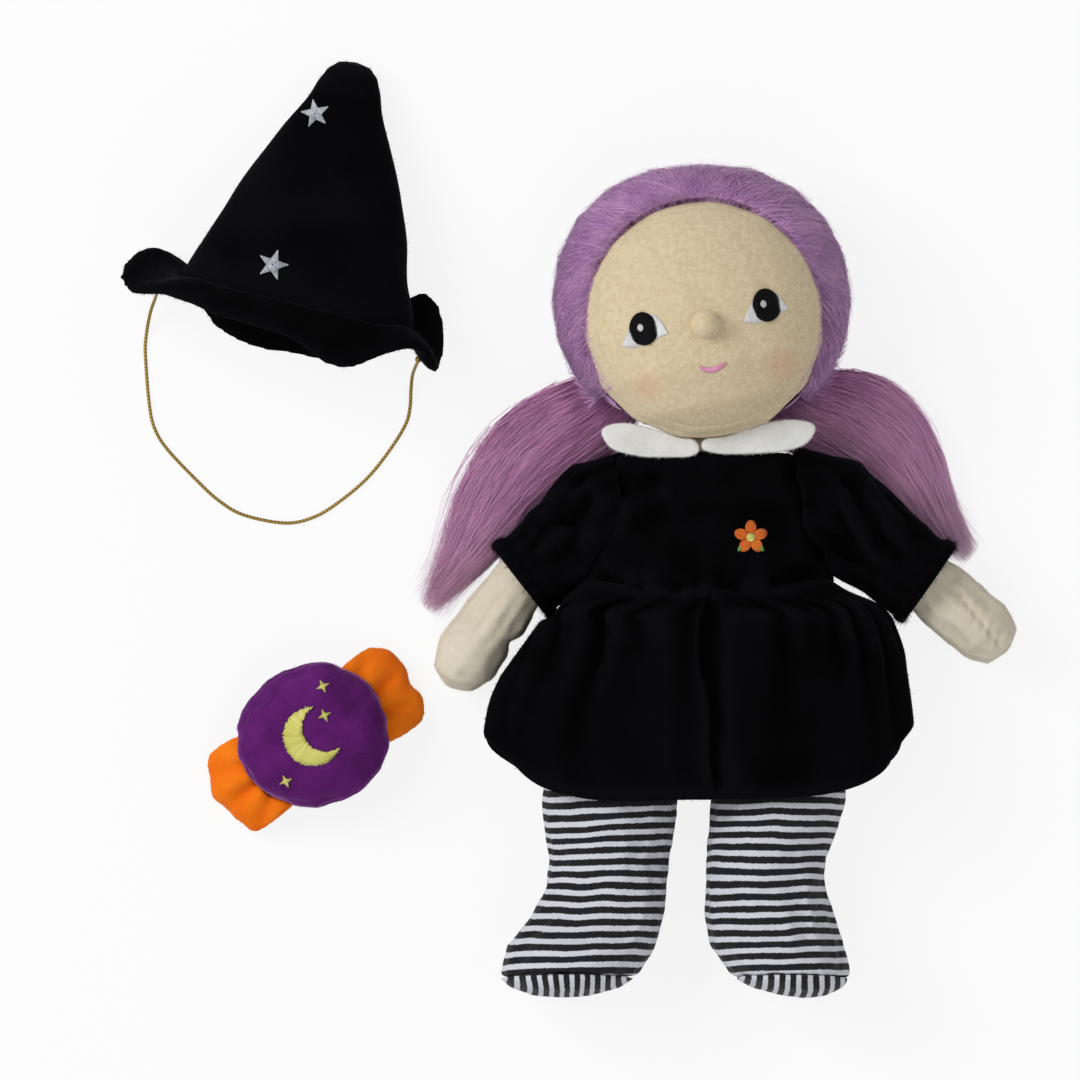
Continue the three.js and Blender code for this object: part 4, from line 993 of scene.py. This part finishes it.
def makeArm(side):
    plan = armPlans[side]
    name = "arm" + side.capitalize()
    piece = stuffedPiece(name)
    co = pointsOf(piece)
    along = armFrame(co, plan)
    inflate(piece, limbSoft, onSeam(co, armPlans) | (along < armPlans["sewnTo"]))
    subdivide(piece)
    co, no = pointsOf(piece), normalsOf(piece)
    along = armFrame(co, plan)
    pucker = 1 + 0.6 * np.sin(along * 1.9) * np.sin(along * 0.7 + 1)
    pushAlong(piece, co, no, -seamGroove(co, no, armPlans) * pucker)
    swell(piece, *armPlans["swell"], plan["seed"])
    co, no = pointsOf(piece), normalsOf(piece)
    x, y = co[:, 0] / mm, co[:, 1] / mm
    if side == "right":  # the notch beside the thumb
        thumbX, thumbY, halfX, halfY, deep = armPlans["thumb"]
        dent = deep * np.exp(-((x - thumbX) / halfX) ** 2 - ((y - thumbY) / halfY) ** 2)
    else:  # a puckered seam across the back of the hand
        start, end = (np.array(q) for q in armPlans["pucker"])
        wx, wy = end - start
        run = ((x - start[0]) * wx + (y - start[1]) * wy) / (wx * wx + wy * wy)
        off = np.hypot(x - start[0] - run * wx, y - start[1] - run * wy)
        upper = no[:, 2] > 0
        valley = 1.3 * np.exp(-(off / 1.3) ** 2) * (1 + 0.5 * np.sin(run * 34))
        ridge = 0.35 * np.exp(-((off - 3) / 2) ** 2) * np.sin(run * 34)
        dent = (valley * (run > -0.05) * (run < 1.05) - ridge * (run > 0) * (run < 1)) * upper
    pushAlong(piece, co, no, -dent)
    restOnTable(piece)
    finishStuffed(piece, name, plushIvory)
    return piece


for side in sides:
    pile(makeArm(side), armPlans["fluff"], 40)
print("stage: arms made")


# legs
legPlans = {
    "left": {"material": stripeLeft, "seed": 3.0}, "right": {"material": stripeRight, "seed": 8.0},
    "seamZ": 23.0, "groove": (1.0, 0.9), "heldY": (-141, -62), "soft": dict(limbSoft, bend=0.5),
    "swell": (0.9, 17), "soleSwell": (0.4, 12),
}


def makeLeg(side):
    plan = legPlans[side]
    name = "leg" + side.capitalize()
    piece = stuffedPiece(name)
    co = pointsOf(piece)
    first, last = legPlans["heldY"]
    held = onSeam(co, legPlans) | (co[:, 1] > last * mm) | (co[:, 1] < first * mm)
    inflate(piece, legPlans["soft"], held)
    subdivide(piece)
    co, no = pointsOf(piece), normalsOf(piece)
    pucker = 1 + 0.5 * np.sin(co[:, 1] / mm * 1.7)
    pushAlong(piece, co, no, -seamGroove(co, no, legPlans) * pucker)
    swell(piece, *legPlans["swell"], plan["seed"])
    restOnTable(piece)
    finishStuffed(piece, name, plan["material"])
    sole = softCopy("sole" + side.capitalize(), ["sole_" + side], 1.6, 5)
    subdivide(sole)
    swell(sole, *legPlans["soleSwell"], plan["seed"])
    restOnTable(sole)
    dress(sole, stripeSole)
    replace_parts(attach(sole, "leg_" + side), "sole_" + side)


for side in sides:
    makeLeg(side)
print("stage: legs made")


# dress
def loft(name, place, around, along, closed=True):  # a grid wrapped round by place(u, v), in millimetres
    deselectAll()
    bpy.ops.mesh.primitive_grid_add(x_subdivisions=around, y_subdivisions=along, size=1)
    piece = bpy.context.object
    piece.name = name
    co = pointsOf(piece)
    movePoints(piece, np.stack(place(co[:, 0] + 0.5, co[:, 1] + 0.5), axis=1) * mm)
    if closed:
        inEdit(piece, bpy.ops.mesh.remove_doubles, threshold=1e-6)
    inEdit(piece, bpy.ops.mesh.normals_make_consistent, inside=False)
    return piece


def bent(value, power):
    return np.sign(value) * np.abs(value) ** power


def faceUp(piece, inside):  # turns an open cloth so that its outer side faces away from the middle
    co, no = pointsOf(piece), normalsOf(piece)
    away = co - np.array(inside) * mm
    if (away * no).sum() < 0:
        inEdit(piece, bpy.ops.mesh.flip_normals)


def velourCover(piece, rounds, gain, level=0.15):  # black cloth with painted shade: lighter on its ridges and darker in its valleys
    restOnTable(piece, level)
    shadeFolds(piece, rounds, gain)
    return dress(piece, velourBlack)


sleeves = {
    "left": {"reach": 42, "turn": 35, "length": 68, "flat": (0.132, 0.07),
             "under": ([-68, -48, -40, -24, -12, 0], [7, 13.8, 18.0, 18.2, 19.0, 21.0])},
    "right": {"reach": 32, "turn": 38, "length": 60, "flat": (0.132, 0.062),
              "under": ([-60, -42, -33, -24, -12, 0], [4, 12.4, 15.0, 16.2, 17.2, 20.8])},
    "cuff": (18.5, 18.5, 19.5), "voxel": 1.8,
    "creases": [(-54, 68, -76, 40, 4, 1.6), (-46, 72, -56, 38, 4, 1.3), (-66, 66, -80, 52, 4, 1.0),
                (57, 72, 69, 42, 4, 1.5), (64, 76, 90, 36, 4, 1.6), (62, 52, 80, 30, 4, 1.2),
                (82, 66, 98, 46, 4, 1.0)],
    "middleZ": 23, "blend": (0.62, 0.12), "blendZ": 24, "band": 5.6, "bandThick": 2.8,
    "hand": (84, 89), "handHalf": [22.4, 16.8, 16, 0], "clearTo": 40,
    "cuffFluff": {"count": 2600, "length": 1.3, "width": 0.16, "lean": 0.8},
    "fluff": {"count": 3200, "length": 0.7, "width": 0.2, "lean": 0.6},
}


def sleeveFrame(side, x, y):
    arm, plan = armPlans[side], sleeves[side]
    angle = math.radians(arm["turn"])
    cuffX = arm["pivot"][0] + arm["side"] * plan["reach"] * math.cos(angle)
    cuffY = arm["pivot"][1] - plan["reach"] * math.sin(angle)
    return turned(x, y, -arm["side"] * (90 + plan["turn"]), (cuffX, cuffY))


skirt = {"waistY": 22.5, "sideY": -34.0, "hemY": -66.0, "middleX": -1.0, "middleY": -20, "middleZ": 28.0,
         "waistHalf": (55.5, 26.4), "thickness": 1.6, "opens": 0.09, "square": 0.28, "tuck": 3.5,
         "hemRound": (3.4, 0.62), "hemRolls": 0.965,
         "rows": [(28, 64.0, 26.0, 3.0), (22.5, 71.0, 26.6, 3.0), (19.5, 76.0, 28.0, 3.0),
                  (16, 79.5, 29.0, 3.2), (8.7, 82.0, 29.8, 4.2), (0, 84.8, 29.4, 4.2), (-10, 87.6, 29.0, 2.6),
                  (-20, 90.5, 28.7, 0.9), (-34, 92.6, 28.5, 0),
                  (-70, 92.6, 28.5, 0)],  # y, half width, half depth, shift in x
         "gathers": 28, "folds": 9, "foldDepth": 1.8,
         "blend": ((0, -8 * mm, 54 * mm), (0, -34 * mm, 66 * mm)),
         "flat": {"Left": (0.132, 0.088), "Right": (0.128, 0.088), "Back": (0.235, 0.088)},
         "fluff": {"count": 4500, "length": 0.7, "width": 0.2, "lean": 0.6, "nap": (0, -0.5, 0)}}
gatherDice = np.random.default_rng(44)
gathers = [(2 * math.pi * (i + gatherDice.uniform(-0.35, 0.35)) / skirt["gathers"],
            gatherDice.uniform(1.2, 3.0), gatherDice.uniform(18, 64), gatherDice.uniform(2.0, 3.2))
           for i in range(skirt["gathers"])]  # angle, depth, length, half width
gathers.append((2.06, 2.8, 80, 2.6))  # one long fold down the front


def waistCurve(x):  # the seam rises a little towards both sides
    return 0.0019 * x * x + 0.8 * np.sin(0.12 * x + 0.9) + 0.4 * np.sin(0.31 * x)


def skirtPlace(angle, v):
    opened = np.clip(v / skirt["opens"], 0, 1)
    opened = opened * (2 - opened)  # the cloth starts inside the bodice and opens out below the seam
    side, front = (bent(way(angle), 1 - skirt["square"] * opened) for way in (np.cos, np.sin))
    first, second = skirt["hemRound"]
    hem = skirt["sideY"] + (skirt["hemY"] - skirt["sideY"]) * (1 - np.abs(side) ** first) ** second
    hem = hem + 1.3 * np.sin(5 * angle + 0.6) * (front > 0)
    y = skirt["waistY"] + (hem - skirt["waistY"]) * v
    y = y + (1 - v) ** 3 * waistCurve(56 * side) * np.clip(front + 0.6, 0, 1)
    rows = np.array(skirt["rows"])[::-1]
    width, depth, shift = (easeThrough(y, rows[:, 0], rows[:, k]) for k in (1, 2, 3))
    width, depth = (least + (full - least) * opened
                    for least, full in zip(skirt["waistHalf"], (width, depth)))
    below = np.maximum(skirt["waistY"] - y, 0)
    down = below / (skirt["waistY"] - skirt["hemY"])
    drawn = 0.0
    for place, deepest, length, half in gathers:  # each valley starts at the waist seam, widens and dies out
        gap = (angle - place + math.pi) % (2 * math.pi) - math.pi
        wide = half * (1 + 0.9 * below / length)
        drawn = drawn + deepest * np.exp(-(gap * 42 / wide) ** 2 - (below / length) ** 2)
    drawn = drawn * np.clip(below / 1.6, 0.35, 1) * np.clip(np.abs(front) / 0.4, 0.1, 1)
    phase = skirt["folds"] * angle + 1.2 * np.sin(2 * angle + 0.5) + 0.8 * down
    fold = skirt["foldDepth"] * down * np.sin(phase)
    rolled = np.clip((v - skirt["hemRolls"]) / 0.035, 0, 1) ** 2 * 1.6
    lift = (0.5 - drawn + fold - rolled) * opened
    y = y + skirt["tuck"] * (1 - opened) ** 2
    x = skirt["middleX"] + shift + (width + lift) * side
    z = skirt["middleZ"] + (depth + lift) * front
    return x, y, np.maximum(z, 0.3)


def clearArms(x, y):  # the skirt stays beside the way up that each sleeve and arm needs
    for side in sides:
        arm, plan = armPlans[side], sleeves[side]
        cuffX, cuffY = sleeveFrame(side, 0, 0)
        palm, tip = (place - plan["reach"] for place in sleeves["hand"])
        handHalves = ([0, 8, palm, tip], sleeves["handHalf"])
        for lean, begin, end, halves in ((plan["turn"], -plan["length"], 0, plan["under"]),
                                         (arm["turn"], 0, tip, handHalves)):
            turn = -arm["side"] * (90 + lean)
            across, along = turnedBack(x - cuffX, y - cuffY, turn)
            toward = np.sign(turnedBack(skirt["middleX"] - cuffX, skirt["middleY"] - cuffY, turn)[0])
            short = np.interp(along, *halves) - across * toward
            inside = (short > 0) & (along > begin) & (along < end) & (short < sleeves["clearTo"])
            clearX, clearY = turned(short * toward, 0, turn, (x, y))
            x, y = np.where(inside, clearX, x), np.where(inside, clearY, y)
    return x, y


def skirtSplit(v):  # the front parts meet in a soft valley that wanders a little
    return math.pi / 2 + 0.022 * np.sin(4.2 * v + 0.4) + 0.01 * np.sin(9 * v)


def makeSkirtPart(name, edges, sunk, around):
    def place(u, v):
        begin, end = edges(1 - v)
        angle = begin + (end - begin) * u
        x, y, z = skirtPlace(angle, 1 - v)
        x, y = clearArms(x, y)
        return x, y, z - sunk(angle - skirtSplit(1 - v)) * np.clip((1 - v) / 0.15, 0.3, 1)
    piece = loft(name, place, around, 56, False)
    faceUp(piece, (0, skirt["middleY"], skirt["middleZ"]))
    thicken(piece, skirt["thickness"])
    subdivide(piece)
    return velourCover(piece, 120, 0.9)


def tucked(past):  # the left part runs on under the right one
    return 2.3 * eased(np.clip((past + 0.06) / 0.05, 0, 1))


skirtPieces = {
    "Left": makeSkirtPart("skirtFrontLeft", lambda v: (0 * v, skirtSplit(v) + 0.055), tucked, 90),
    "Right": makeSkirtPart("skirtFrontRight", lambda v: (skirtSplit(v) - 0.015, math.pi + 0 * v),
                           lambda past: 1.5 * np.exp(-(past / 0.05) ** 2), 84),
    "Back": makeSkirtPart("skirtBack", lambda v: (math.pi + 0 * v, 2 * math.pi + 0 * v),
                          lambda past: 0 * past, 90),
}
for name, piece in skirtPieces.items():
    fibres = fibresOn(piece, skirt["fluff"], 50)
    if name == "Back":
        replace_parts(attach(piece, "doll_body"), "skirt_back")
        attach(fibres, "doll_body")
    else:
        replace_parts(piece, "skirt_front")
        for cloth in (piece, fibres):
            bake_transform(cloth)
print("stage: skirt made")

bodice = {"voxel": 2.6, "waistY": 21.0, "swell": (0.8, 22, 12.0),
          "creases": [(-26, 80, -52, 30, 4, 1.5), (-15, 76, -34, 62, 4, 0.9), (48, 78, 56, 32, 4, 1.5),
                      (38, 84, 46, 56, 4, 0.9), (-46, 34, -22, 24, 4, 1.0), (52, 36, 28, 25, 4, 1.0),
                      (-6, 30, -12, 20, 3, 0.7), (14, 32, 18, 20, 3, 0.7)],
          "fluff": {"count": 5000, "length": 0.7, "width": 0.2, "lean": 0.6, "nap": (0, -0.5, 0)}}


def makeBodice():
    nodes = ["bodice_front", "bodice_back", "body_front", "body_back", "body_stuffing"]
    piece = softCopy("bodice", nodes, bodice["voxel"], 6)
    cutFlat(piece, bodice["waistY"], (0, -1, 0))
    subdivide(piece)
    co, no = pointsOf(piece), normalsOf(piece)
    x, y, z = co.T / mm
    low = np.clip(1 - (y - bodice["waistY"]) / 22, 0, 1) ** 2 * np.clip((z - 8) / 24, 0, 1)
    co[:, 1] += low * waistCurve(x) * mm
    up = np.clip(no[:, 2], 0, 1)
    gather = np.exp(-((y - bodice["waistY"]) / 9) ** 2) * np.sin(x * 0.55 + 0.8 * np.sin(x * 0.21)) * 0.5
    drape = 0.9 * np.sin(0.16 * x + 0.11 * y + 1.2) * np.clip(np.abs(x - 4) / 40, 0, 1)
    pushAlong(piece, co, no, (gather + drape) * up)
    swell(piece, *bodice["swell"])
    crease(piece, bodice["creases"])
    velourCover(piece, 60, 1.0)
    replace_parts(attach(piece, "doll_body"), "bodice_front", "bodice_back")
    return piece


bodicePiece = makeBodice()
bodiceTop = surfaceOf(bodicePiece)
pile(bodicePiece, bodice["fluff"], 55)


def makeSleeve(side):
    plan = sleeves[side]
    piece = softCopy("sleeve" + side.capitalize(), ["sleeve_" + side], sleeves["voxel"], 5)
    subdivide(piece)
    co, no = pointsOf(piece), normalsOf(piece)
    cuff, top = np.array(sleeveFrame(side, 0, 0)), np.array(sleeveFrame(side, 0, -plan["length"]))
    way = unit(cuff - top)
    run = (co[:, :2] / mm - top) @ way
    across = (co[:, :2] / mm - top) @ np.array([-way[1], way[0]])
    height = co[:, 2] / mm - sleeves["middleZ"]
    angle = np.arctan2(height, across)
    outer = np.clip((np.hypot(across, height) - 17) / 3, 0, 1) * np.clip(run / 12, 0, 1)
    folds = 0.9 * np.sin(4 * angle + 0.11 * run) + 0.6 * np.sin(7 * angle - 0.16 * run + 1)
    gather = 0.4 * np.sin(23 * angle) * np.exp(-((plan["length"] - run) / 8) ** 2)
    pushAlong(piece, co, no, (folds + gather) * outer * np.clip((plan["length"] - run) / 6, 0.2, 1))
    crease(piece, sleeves["creases"])
    velourCover(piece, 60, 1.0)
    surface = surfaceOf(piece)
    fibres = fibresOn(piece, sleeves["fluff"], 60)
    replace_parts(piece, "sleeve_" + side)
    for cloth in (piece, fibres):
        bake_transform(cloth)
    return surface


def makeCuff(side):
    wide, deep, z = sleeves["cuff"]

    def place(u, v):
        angle, turn = 2 * math.pi * u, 2 * math.pi * v
        out = 1.0 + sleeves["bandThick"] / 2 * np.sin(turn) + 0.25 * np.sin(17 * angle)
        y = -sleeves["band"] / 2 - 0.6 + sleeves["band"] / 2 * np.cos(turn)
        px, py = sleeveFrame(side, (wide + out) * np.cos(angle), y)
        return px, py, z + (deep + out) * np.sin(angle)
    piece = loft("cuff" + side.capitalize(), place, 72, 14)
    velourCover(piece, 30, 0.4)
    pile(piece, sleeves["cuffFluff"], 61)
    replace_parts(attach(piece, "arm_" + side), "cuff_" + side)


for side in sides:
    sleeveSurface = makeSleeve(side)
    makeCuff(side)
    makeBunch(side, sleeveSurface)

collar = {"voxel": 1.1, "middleX": 3.0, "flat": (0.048, 0.014), "half": 26, "closer": 2.6,
          "swell": (0.3, 12, 5.0),
          "fluff": {"count": 2200, "length": 0.5, "width": 0.18, "lean": 0.6}}
for side in sides:
    leaf = softCopy("collar" + side.capitalize(), ["collar_" + side], collar["voxel"], 9)
    subdivide(leaf)
    co = pointsOf(leaf)
    toward = np.sign(co[:, 0].mean() - collar["middleX"] * mm)
    inner = np.clip(1 - (co[:, 0] / mm - collar["middleX"]) * toward / collar["half"], 0, 1)
    co[:, 0] -= toward * collar["closer"] * mm * inner ** 2  # the leaves all but meet under the chin
    movePoints(leaf, co)
    swell(leaf, *collar["swell"])
    dress(leaf, plushWhite)
    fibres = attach(fibresOn(leaf, collar["fluff"], 70), "doll_body")
    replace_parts(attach(leaf, "doll_body"), "collar_" + side)

neckPiece = softCopy("neckStem", ["neck"], 1.6, 4)
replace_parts(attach(dress(neckPiece, knitCream), "doll_body"), "neck")

badge = {"middle": (21.7, 49.0), "petals": 5, "reach": 4.3, "petalHalf": (2.3, 3.1), "heart": 1.9,
         "leafReach": (7.2, 5.2), "leafHalf": (0.9, 2.2), "pitch": 0.42}
petals, leaves = [], []
for i in range(badge["petals"]):
    turn = 18 + i * 360 / badge["petals"]
    x, y = turned(badge["reach"], 0, turn, badge["middle"])
    petals += hatch(ovalOutline(x, y, *badge["petalHalf"], turn - 90), turn, badge["pitch"])
for turn in (-54, 234):
    x = badge["middle"][0] + badge["leafReach"][0] * math.cos(math.radians(turn))
    y = badge["middle"][1] + badge["leafReach"][1] * math.sin(math.radians(turn))
    leaves += hatch(ovalOutline(x, y, *badge["leafHalf"], turn - 90), turn + 35, badge["pitch"])
heart = hatch(ovalOutline(*badge["middle"], badge["heart"], badge["heart"], 0), 20, 0.4)
for name, lines, thread, finish, node in (
        ("chestFlower", petals, (0.5, 12, 0.5, 0.75), (threadOrange, "thread_orange"), "chest_badge"),
        ("flowerHeart", heart, (0.5, 13, 0.7, 1.0), (threadYellow, "thread_yellow"), None),
        ("flowerLeaves", leaves, (0.45, 14, 0.4, 0.7), (threadGreen, "thread_orange"), None)):
    embroider(name, lines, bodiceTop, thread, finish, "doll_body", node)
print("stage: dress made")

# hat
hat = {"middle": (-175, 150), "lean": -13.3, "height": 109.2, "thickness": 1.6,
       "rows": [  # y, half width, half depth
           (-1.5, 51.5, 30.0), (0, 51.5, 30), (20, 44.5, 26.4), (45.6, 37.1, 21.6), (74.2, 24.7, 14.4),
           (90, 16.5, 11.5), (100, 12.8, 9.6), (106, 8.8, 6.6), (108.5, 4.3, 3.2), (109.2, 0.02, 0.02)],
       "fluff": {"count": 4500, "length": 0.7, "width": 0.2, "lean": 0.6},
       "flat": (0.25, 0.11), "sector": 0.62, "brimPlump": 0.6, "brimSwell": (0.9, 15, 7.0),
       "stars": [(-167.2, 233.2, 6.6, 100), (-185.0, 166.8, 7.0, 72)]}  # x, y, radius, turn


def makeHat():
    def place(u, v):
        angle = 2 * math.pi * u
        y = hat["height"] * (1 - (1 - v) ** 1.25) - 1.5 * (1 - v)
        rows = np.array(hat["rows"])
        wide, deep = (easeThrough(y, rows[:, 0], rows[:, k]) for k in (1, 2))
        fade = np.clip(1 - y / hat["height"], 0, 1) * np.clip(y / 14, 0, 1)
        waves = 1.5 * np.sin(2 * angle + 0.06 * y + 0.5) + 0.9 * np.sin(5 * angle - 0.09 * y)
        waves = waves + 0.6 * np.sin(0.22 * y + 3 * angle)
        dent = waves * fade * np.clip(deep / 12, 0, 1)
        px, py = turned((wide + 0.5 * dent) * np.cos(angle), y, hat["lean"], hat["middle"])
        return px, py, np.maximum(deep - 0.5 + (deep + dent) * np.sin(angle), 0.3)
    piece = loft("hatCone", place, 110, 70)
    faceUp(piece, (*turned(0, 30, hat["lean"], hat["middle"]), 22))
    thicken(piece, hat["thickness"])
    velourCover(piece, 120, 0.35)
    surface = surfaceOf(piece)
    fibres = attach(fibresOn(piece, hat["fluff"], 80), "hat")
    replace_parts(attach(piece, "hat"), "hat_cone")
    brim = softCopy("hatBrim", ["hat_brim"], 1.8, 5)
    subdivide(brim)
    movePoints(brim, pointsOf(brim) + normalsOf(brim) * hat["brimPlump"] * mm)
    swell(brim, *hat["brimSwell"])
    velourCover(brim, 60, 0.5)
    pile(brim, hat["fluff"], 81)
    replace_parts(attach(brim, "hat"), "hat_brim")
    return surface


def starLines(x, y, radius, count, inner, turn, pitch):  # threads laid across each point of a star
    found = []
    middle = np.array((x, y))
    for i in range(count):
        left, tip, right = (np.array(turned(reach, 0, turn + 180 * (2 * i + step) / count, (x, y)))
                            for reach, step in ((radius * inner, -1), (radius, 0), (radius * inner, 1)))
        for t in np.linspace(0.08, 0.94, max(4, int(radius / pitch))):
            if t < 0.42:
                share = t / 0.42
                ends = middle + (left - middle) * share, middle + (right - middle) * share
            else:
                share = (t - 0.42) / 0.58
                ends = left + (tip - left) * share, right + (tip - right) * share
            found.append([tuple(end) for end in ends])
    return found


hatTop = makeHat()
for i, (x, y, radius, turn) in enumerate(hat["stars"]):
    lines = starLines(x, y, radius, 5, 0.42, turn, 0.4)
    embroider("hatStar" + str(i + 1), lines, hatTop, (0.5, 15 + i, 0.4, 0.7), (threadSilver, "thread_silver"),
              "hat", "hat_star_" + str(i + 1))
print("stage: hat made")


# candy
candy = {"middle": (-168, -37.3), "turn": -57, "seamZ": 20.0, "groove": (1.2, 0.5),
         "soft": dict(limbSoft, cap=1.6, bend=0.5), "wider": 0.045, "swell": (1.2, 15, 2.0),
         "wingFolds": ((-0.62, 2.4), (-0.12, 4.0), (0.4, 3.0)), "wingSwell": (0.5, 9, 4.0),
         "fluff": {"count": 5500, "length": 0.45, "width": 0.15, "lean": 0.7},
         "slide": {"upper": (0.8, -0.6), "lower": (-0.4, -2.4)},
         "moon": {"radius": 12.8, "bite": 6.0, "inner": 0.82, "opens": 33, "threads": 130},
         "sparkles": [(-163.7, -15.6), (-162.9, -28.2), (-179.8, -56.9)]}


def candyAlong(co):  # distance across and along the candy's long axis
    x, y = co[:, 0] / mm - candy["middle"][0], co[:, 1] / mm - candy["middle"][1]
    return turnedBack(x, y, candy["turn"])


def makeCandy():
    nodes = ["candy_front", "candy_back", "candy_stuffing"]
    piece = softCopy("candyPouch", nodes, 2.2, 5)
    co = pointsOf(piece)
    inflate(piece, candy["soft"], onSeam(co, candy))
    subdivide(piece)
    co, no = pointsOf(piece), normalsOf(piece)
    across, along = candyAlong(co)
    angle = np.arctan2(across, along)
    ends = np.clip((np.abs(along) - 12) / 18, 0, 1)
    pleats = 0.2 * ends * np.sin(19 * angle + 2 * np.sin(3 * angle))
    groove = seamGroove(co, no, candy)
    co[:, 0] += candy["wider"] * (co[:, 0] - candy["middle"][0] * mm)
    pushAlong(piece, co, no, pleats - groove)
    swell(piece, *candy["swell"])
    restOnTable(piece)
    dress(piece, velourPurple)
    surface = surfaceOf(piece)
    pile(piece, candy["fluff"], 90)
    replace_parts(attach(piece, "candy"), *nodes)
    for name in ("upper", "lower"):
        wing = softCopy("candyWing" + name.capitalize(), ["candy_wing_" + name], 1.3, 6)
        subdivide(wing)
        co, no = pointsOf(wing), normalsOf(wing)
        across, along = candyAlong(co)
        reach = np.abs(along)
        flip = np.sign(along.mean())
        out = reach - reach.min()  # distance from the gathered neck
        shorter = 0.13 * np.abs(across / 23) ** 3
        shorter = shorter + 0.05 * np.sin(0.22 * across + 0.9 * flip) + 0.02 * np.sin(0.45 * across)
        pull = out * shorter * np.clip(out / 14, 0, 1) + 3 * np.clip(1 - out / 9, 0, 1)
        fan = np.arctan2(across, out + 12)
        deep = 0.0
        for place, depth in candy["wingFolds"]:  # folds that run out from the neck
            deep = deep + depth * np.exp(-((fan - place * flip) / 0.13) ** 2)
        rise = (0.9 - deep) * np.clip(out / 6, 0, 1) * np.clip(1.3 - out / 26, 0.15, 1)
        dx, dy = turned(-0.1 * across, -pull * flip, candy["turn"], candy["slide"][name])
        co[:, 0] += dx * mm
        co[:, 1] += dy * mm
        co[:, 2] += rise * mm * np.where(no[:, 2] > 0, 1.0, 0.35)
        movePoints(wing, co)
        swell(wing, *candy["wingSwell"])
        restOnTable(wing)
        # painted shade: fold valleys darker and ridges lighter through the tone attribute
        shadeFolds(wing, 60, 0.5)
        dress(wing, velourOrange)
        pile(wing, dict(candy["fluff"], count=2000), 91)
        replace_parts(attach(wing, "candy"), "candy_wing_" + name)
    return surface


candyTop = makeCandy()
moon = candy["moon"]
shift = moon["radius"] - moon["bite"]
inner = moon["inner"] * moon["radius"]
opening = math.acos((moon["radius"] ** 2 + shift ** 2 - inner ** 2) / (2 * moon["radius"] * shift))
lines = []
moonDice = np.random.default_rng(77)
for i in range(moon["threads"]):  # each thread crosses the moon from its outer to its inner edge
    t = opening + (2 * math.pi - 2 * opening) * (i + 0.5) / moon["threads"]
    ray = np.array((math.cos(t), math.sin(t)))
    centre = np.array((shift, 0.0))
    drop = ray @ centre
    root = drop ** 2 - centre @ centre + inner ** 2
    if root < 0:
        continue
    near = drop + math.sqrt(root)
    if near > moon["radius"] - 0.25:
        continue
    pair = []
    ragged = moonDice.uniform(-0.45, 0.45, 2)
    for reach in (max(near + ragged[0], 0.2), moon["radius"] + ragged[1]):
        pair.append(turned(*(ray * reach), moon["opens"], candy["middle"]))
    lines.append(pair)
yellow = (threadYellow, "thread_yellow")
embroider("candyMoon", lines, candyTop, (0.58, 17, 0.45, 0.6), yellow, "candy", "candy_crescent")
for i, (x, y) in enumerate(candy["sparkles"]):
    lines = starLines(x, y, 2.9, 4, 0.4, 25, 0.4)
    embroider("candySparkle" + str(i + 1), lines, candyTop, (0.5, 18 + i, 0.4, 0.5), yellow, "candy",
              "candy_sparkle_" + str(i + 1))
print("stage: candy made")


# table and light
studio = {"floor": 6.0, "paper": 0.9, "glow": 0.85, "world": 0.42, "aim": (-0.05, 0.05, 0),
          "lamps": [((-1.5, 0.7, 1.5), 1.2, 27), ((1.4, 0.1, 1.7), 1.6, 3.5), ((0.0, -1.4, 1.5), 1.4, 6)]}


def seenDirectly(tree):  # 1 for what the camera, a gloss or glass sees
    ray = tree.nodes.new("ShaderNodeLightPath")
    passed = mathNode(tree, "MAXIMUM", ray.outputs["Is Glossy Ray"], ray.outputs["Is Transmission Ray"])
    return mathNode(tree, "MAXIMUM", ray.outputs["Is Camera Ray"], passed)


deselectAll()
bpy.ops.mesh.primitive_plane_add(size=studio["floor"], location=(0, 0, 0))
floor = bpy.context.object
floor.name = "tableTop"
floorMaterial, floorTree, floorShader, _ = newMaterial("tablePaper", 0.9)
floorShader.inputs["Base Color"].default_value = (*[studio["paper"]] * 3, 1)
floorOut = next(n for n in floorTree.nodes if n.type == "OUTPUT_MATERIAL")
floorGlow = addNode(floorTree, "ShaderNodeEmission", {"Strength": 1.0})
floorShare = mathNode(floorTree, "MULTIPLY", seenDirectly(floorTree), studio["glow"])
floorMix = addNode(floorTree, "ShaderNodeMixShader", {0: floorShare, 1: floorShader.outputs[0],
                                                      2: floorGlow.outputs[0]})
floorTree.links.new(floorMix.outputs[0], floorOut.inputs[0])
floor.data.materials.append(floorMaterial)

world = bpy.data.worlds.new("studio")
bpy.context.scene.world = world
world.use_nodes = True
worldTree = world.node_tree
sky = worldTree.nodes["Background"]
sky.inputs["Color"].default_value = (1, 1, 1, 1)
strength = mathNode(worldTree, "MULTIPLY_ADD", seenDirectly(worldTree), 1 - studio["world"], studio["world"])
worldTree.links.new(strength, sky.inputs["Strength"])
for i, (place, size, power) in enumerate(studio["lamps"]):
    name = "lamp" + str(i + 1)
    lamp = linked(name, bpy.data.lights.new(name, "AREA"))
    lamp.data.size = size
    lamp.data.energy = power
    lamp.location = place
    lamp.rotation_euler = (Vector(studio["aim"]) - Vector(place)).to_track_quat("-Z", "Y").to_euler()

print("stage: table and light set")
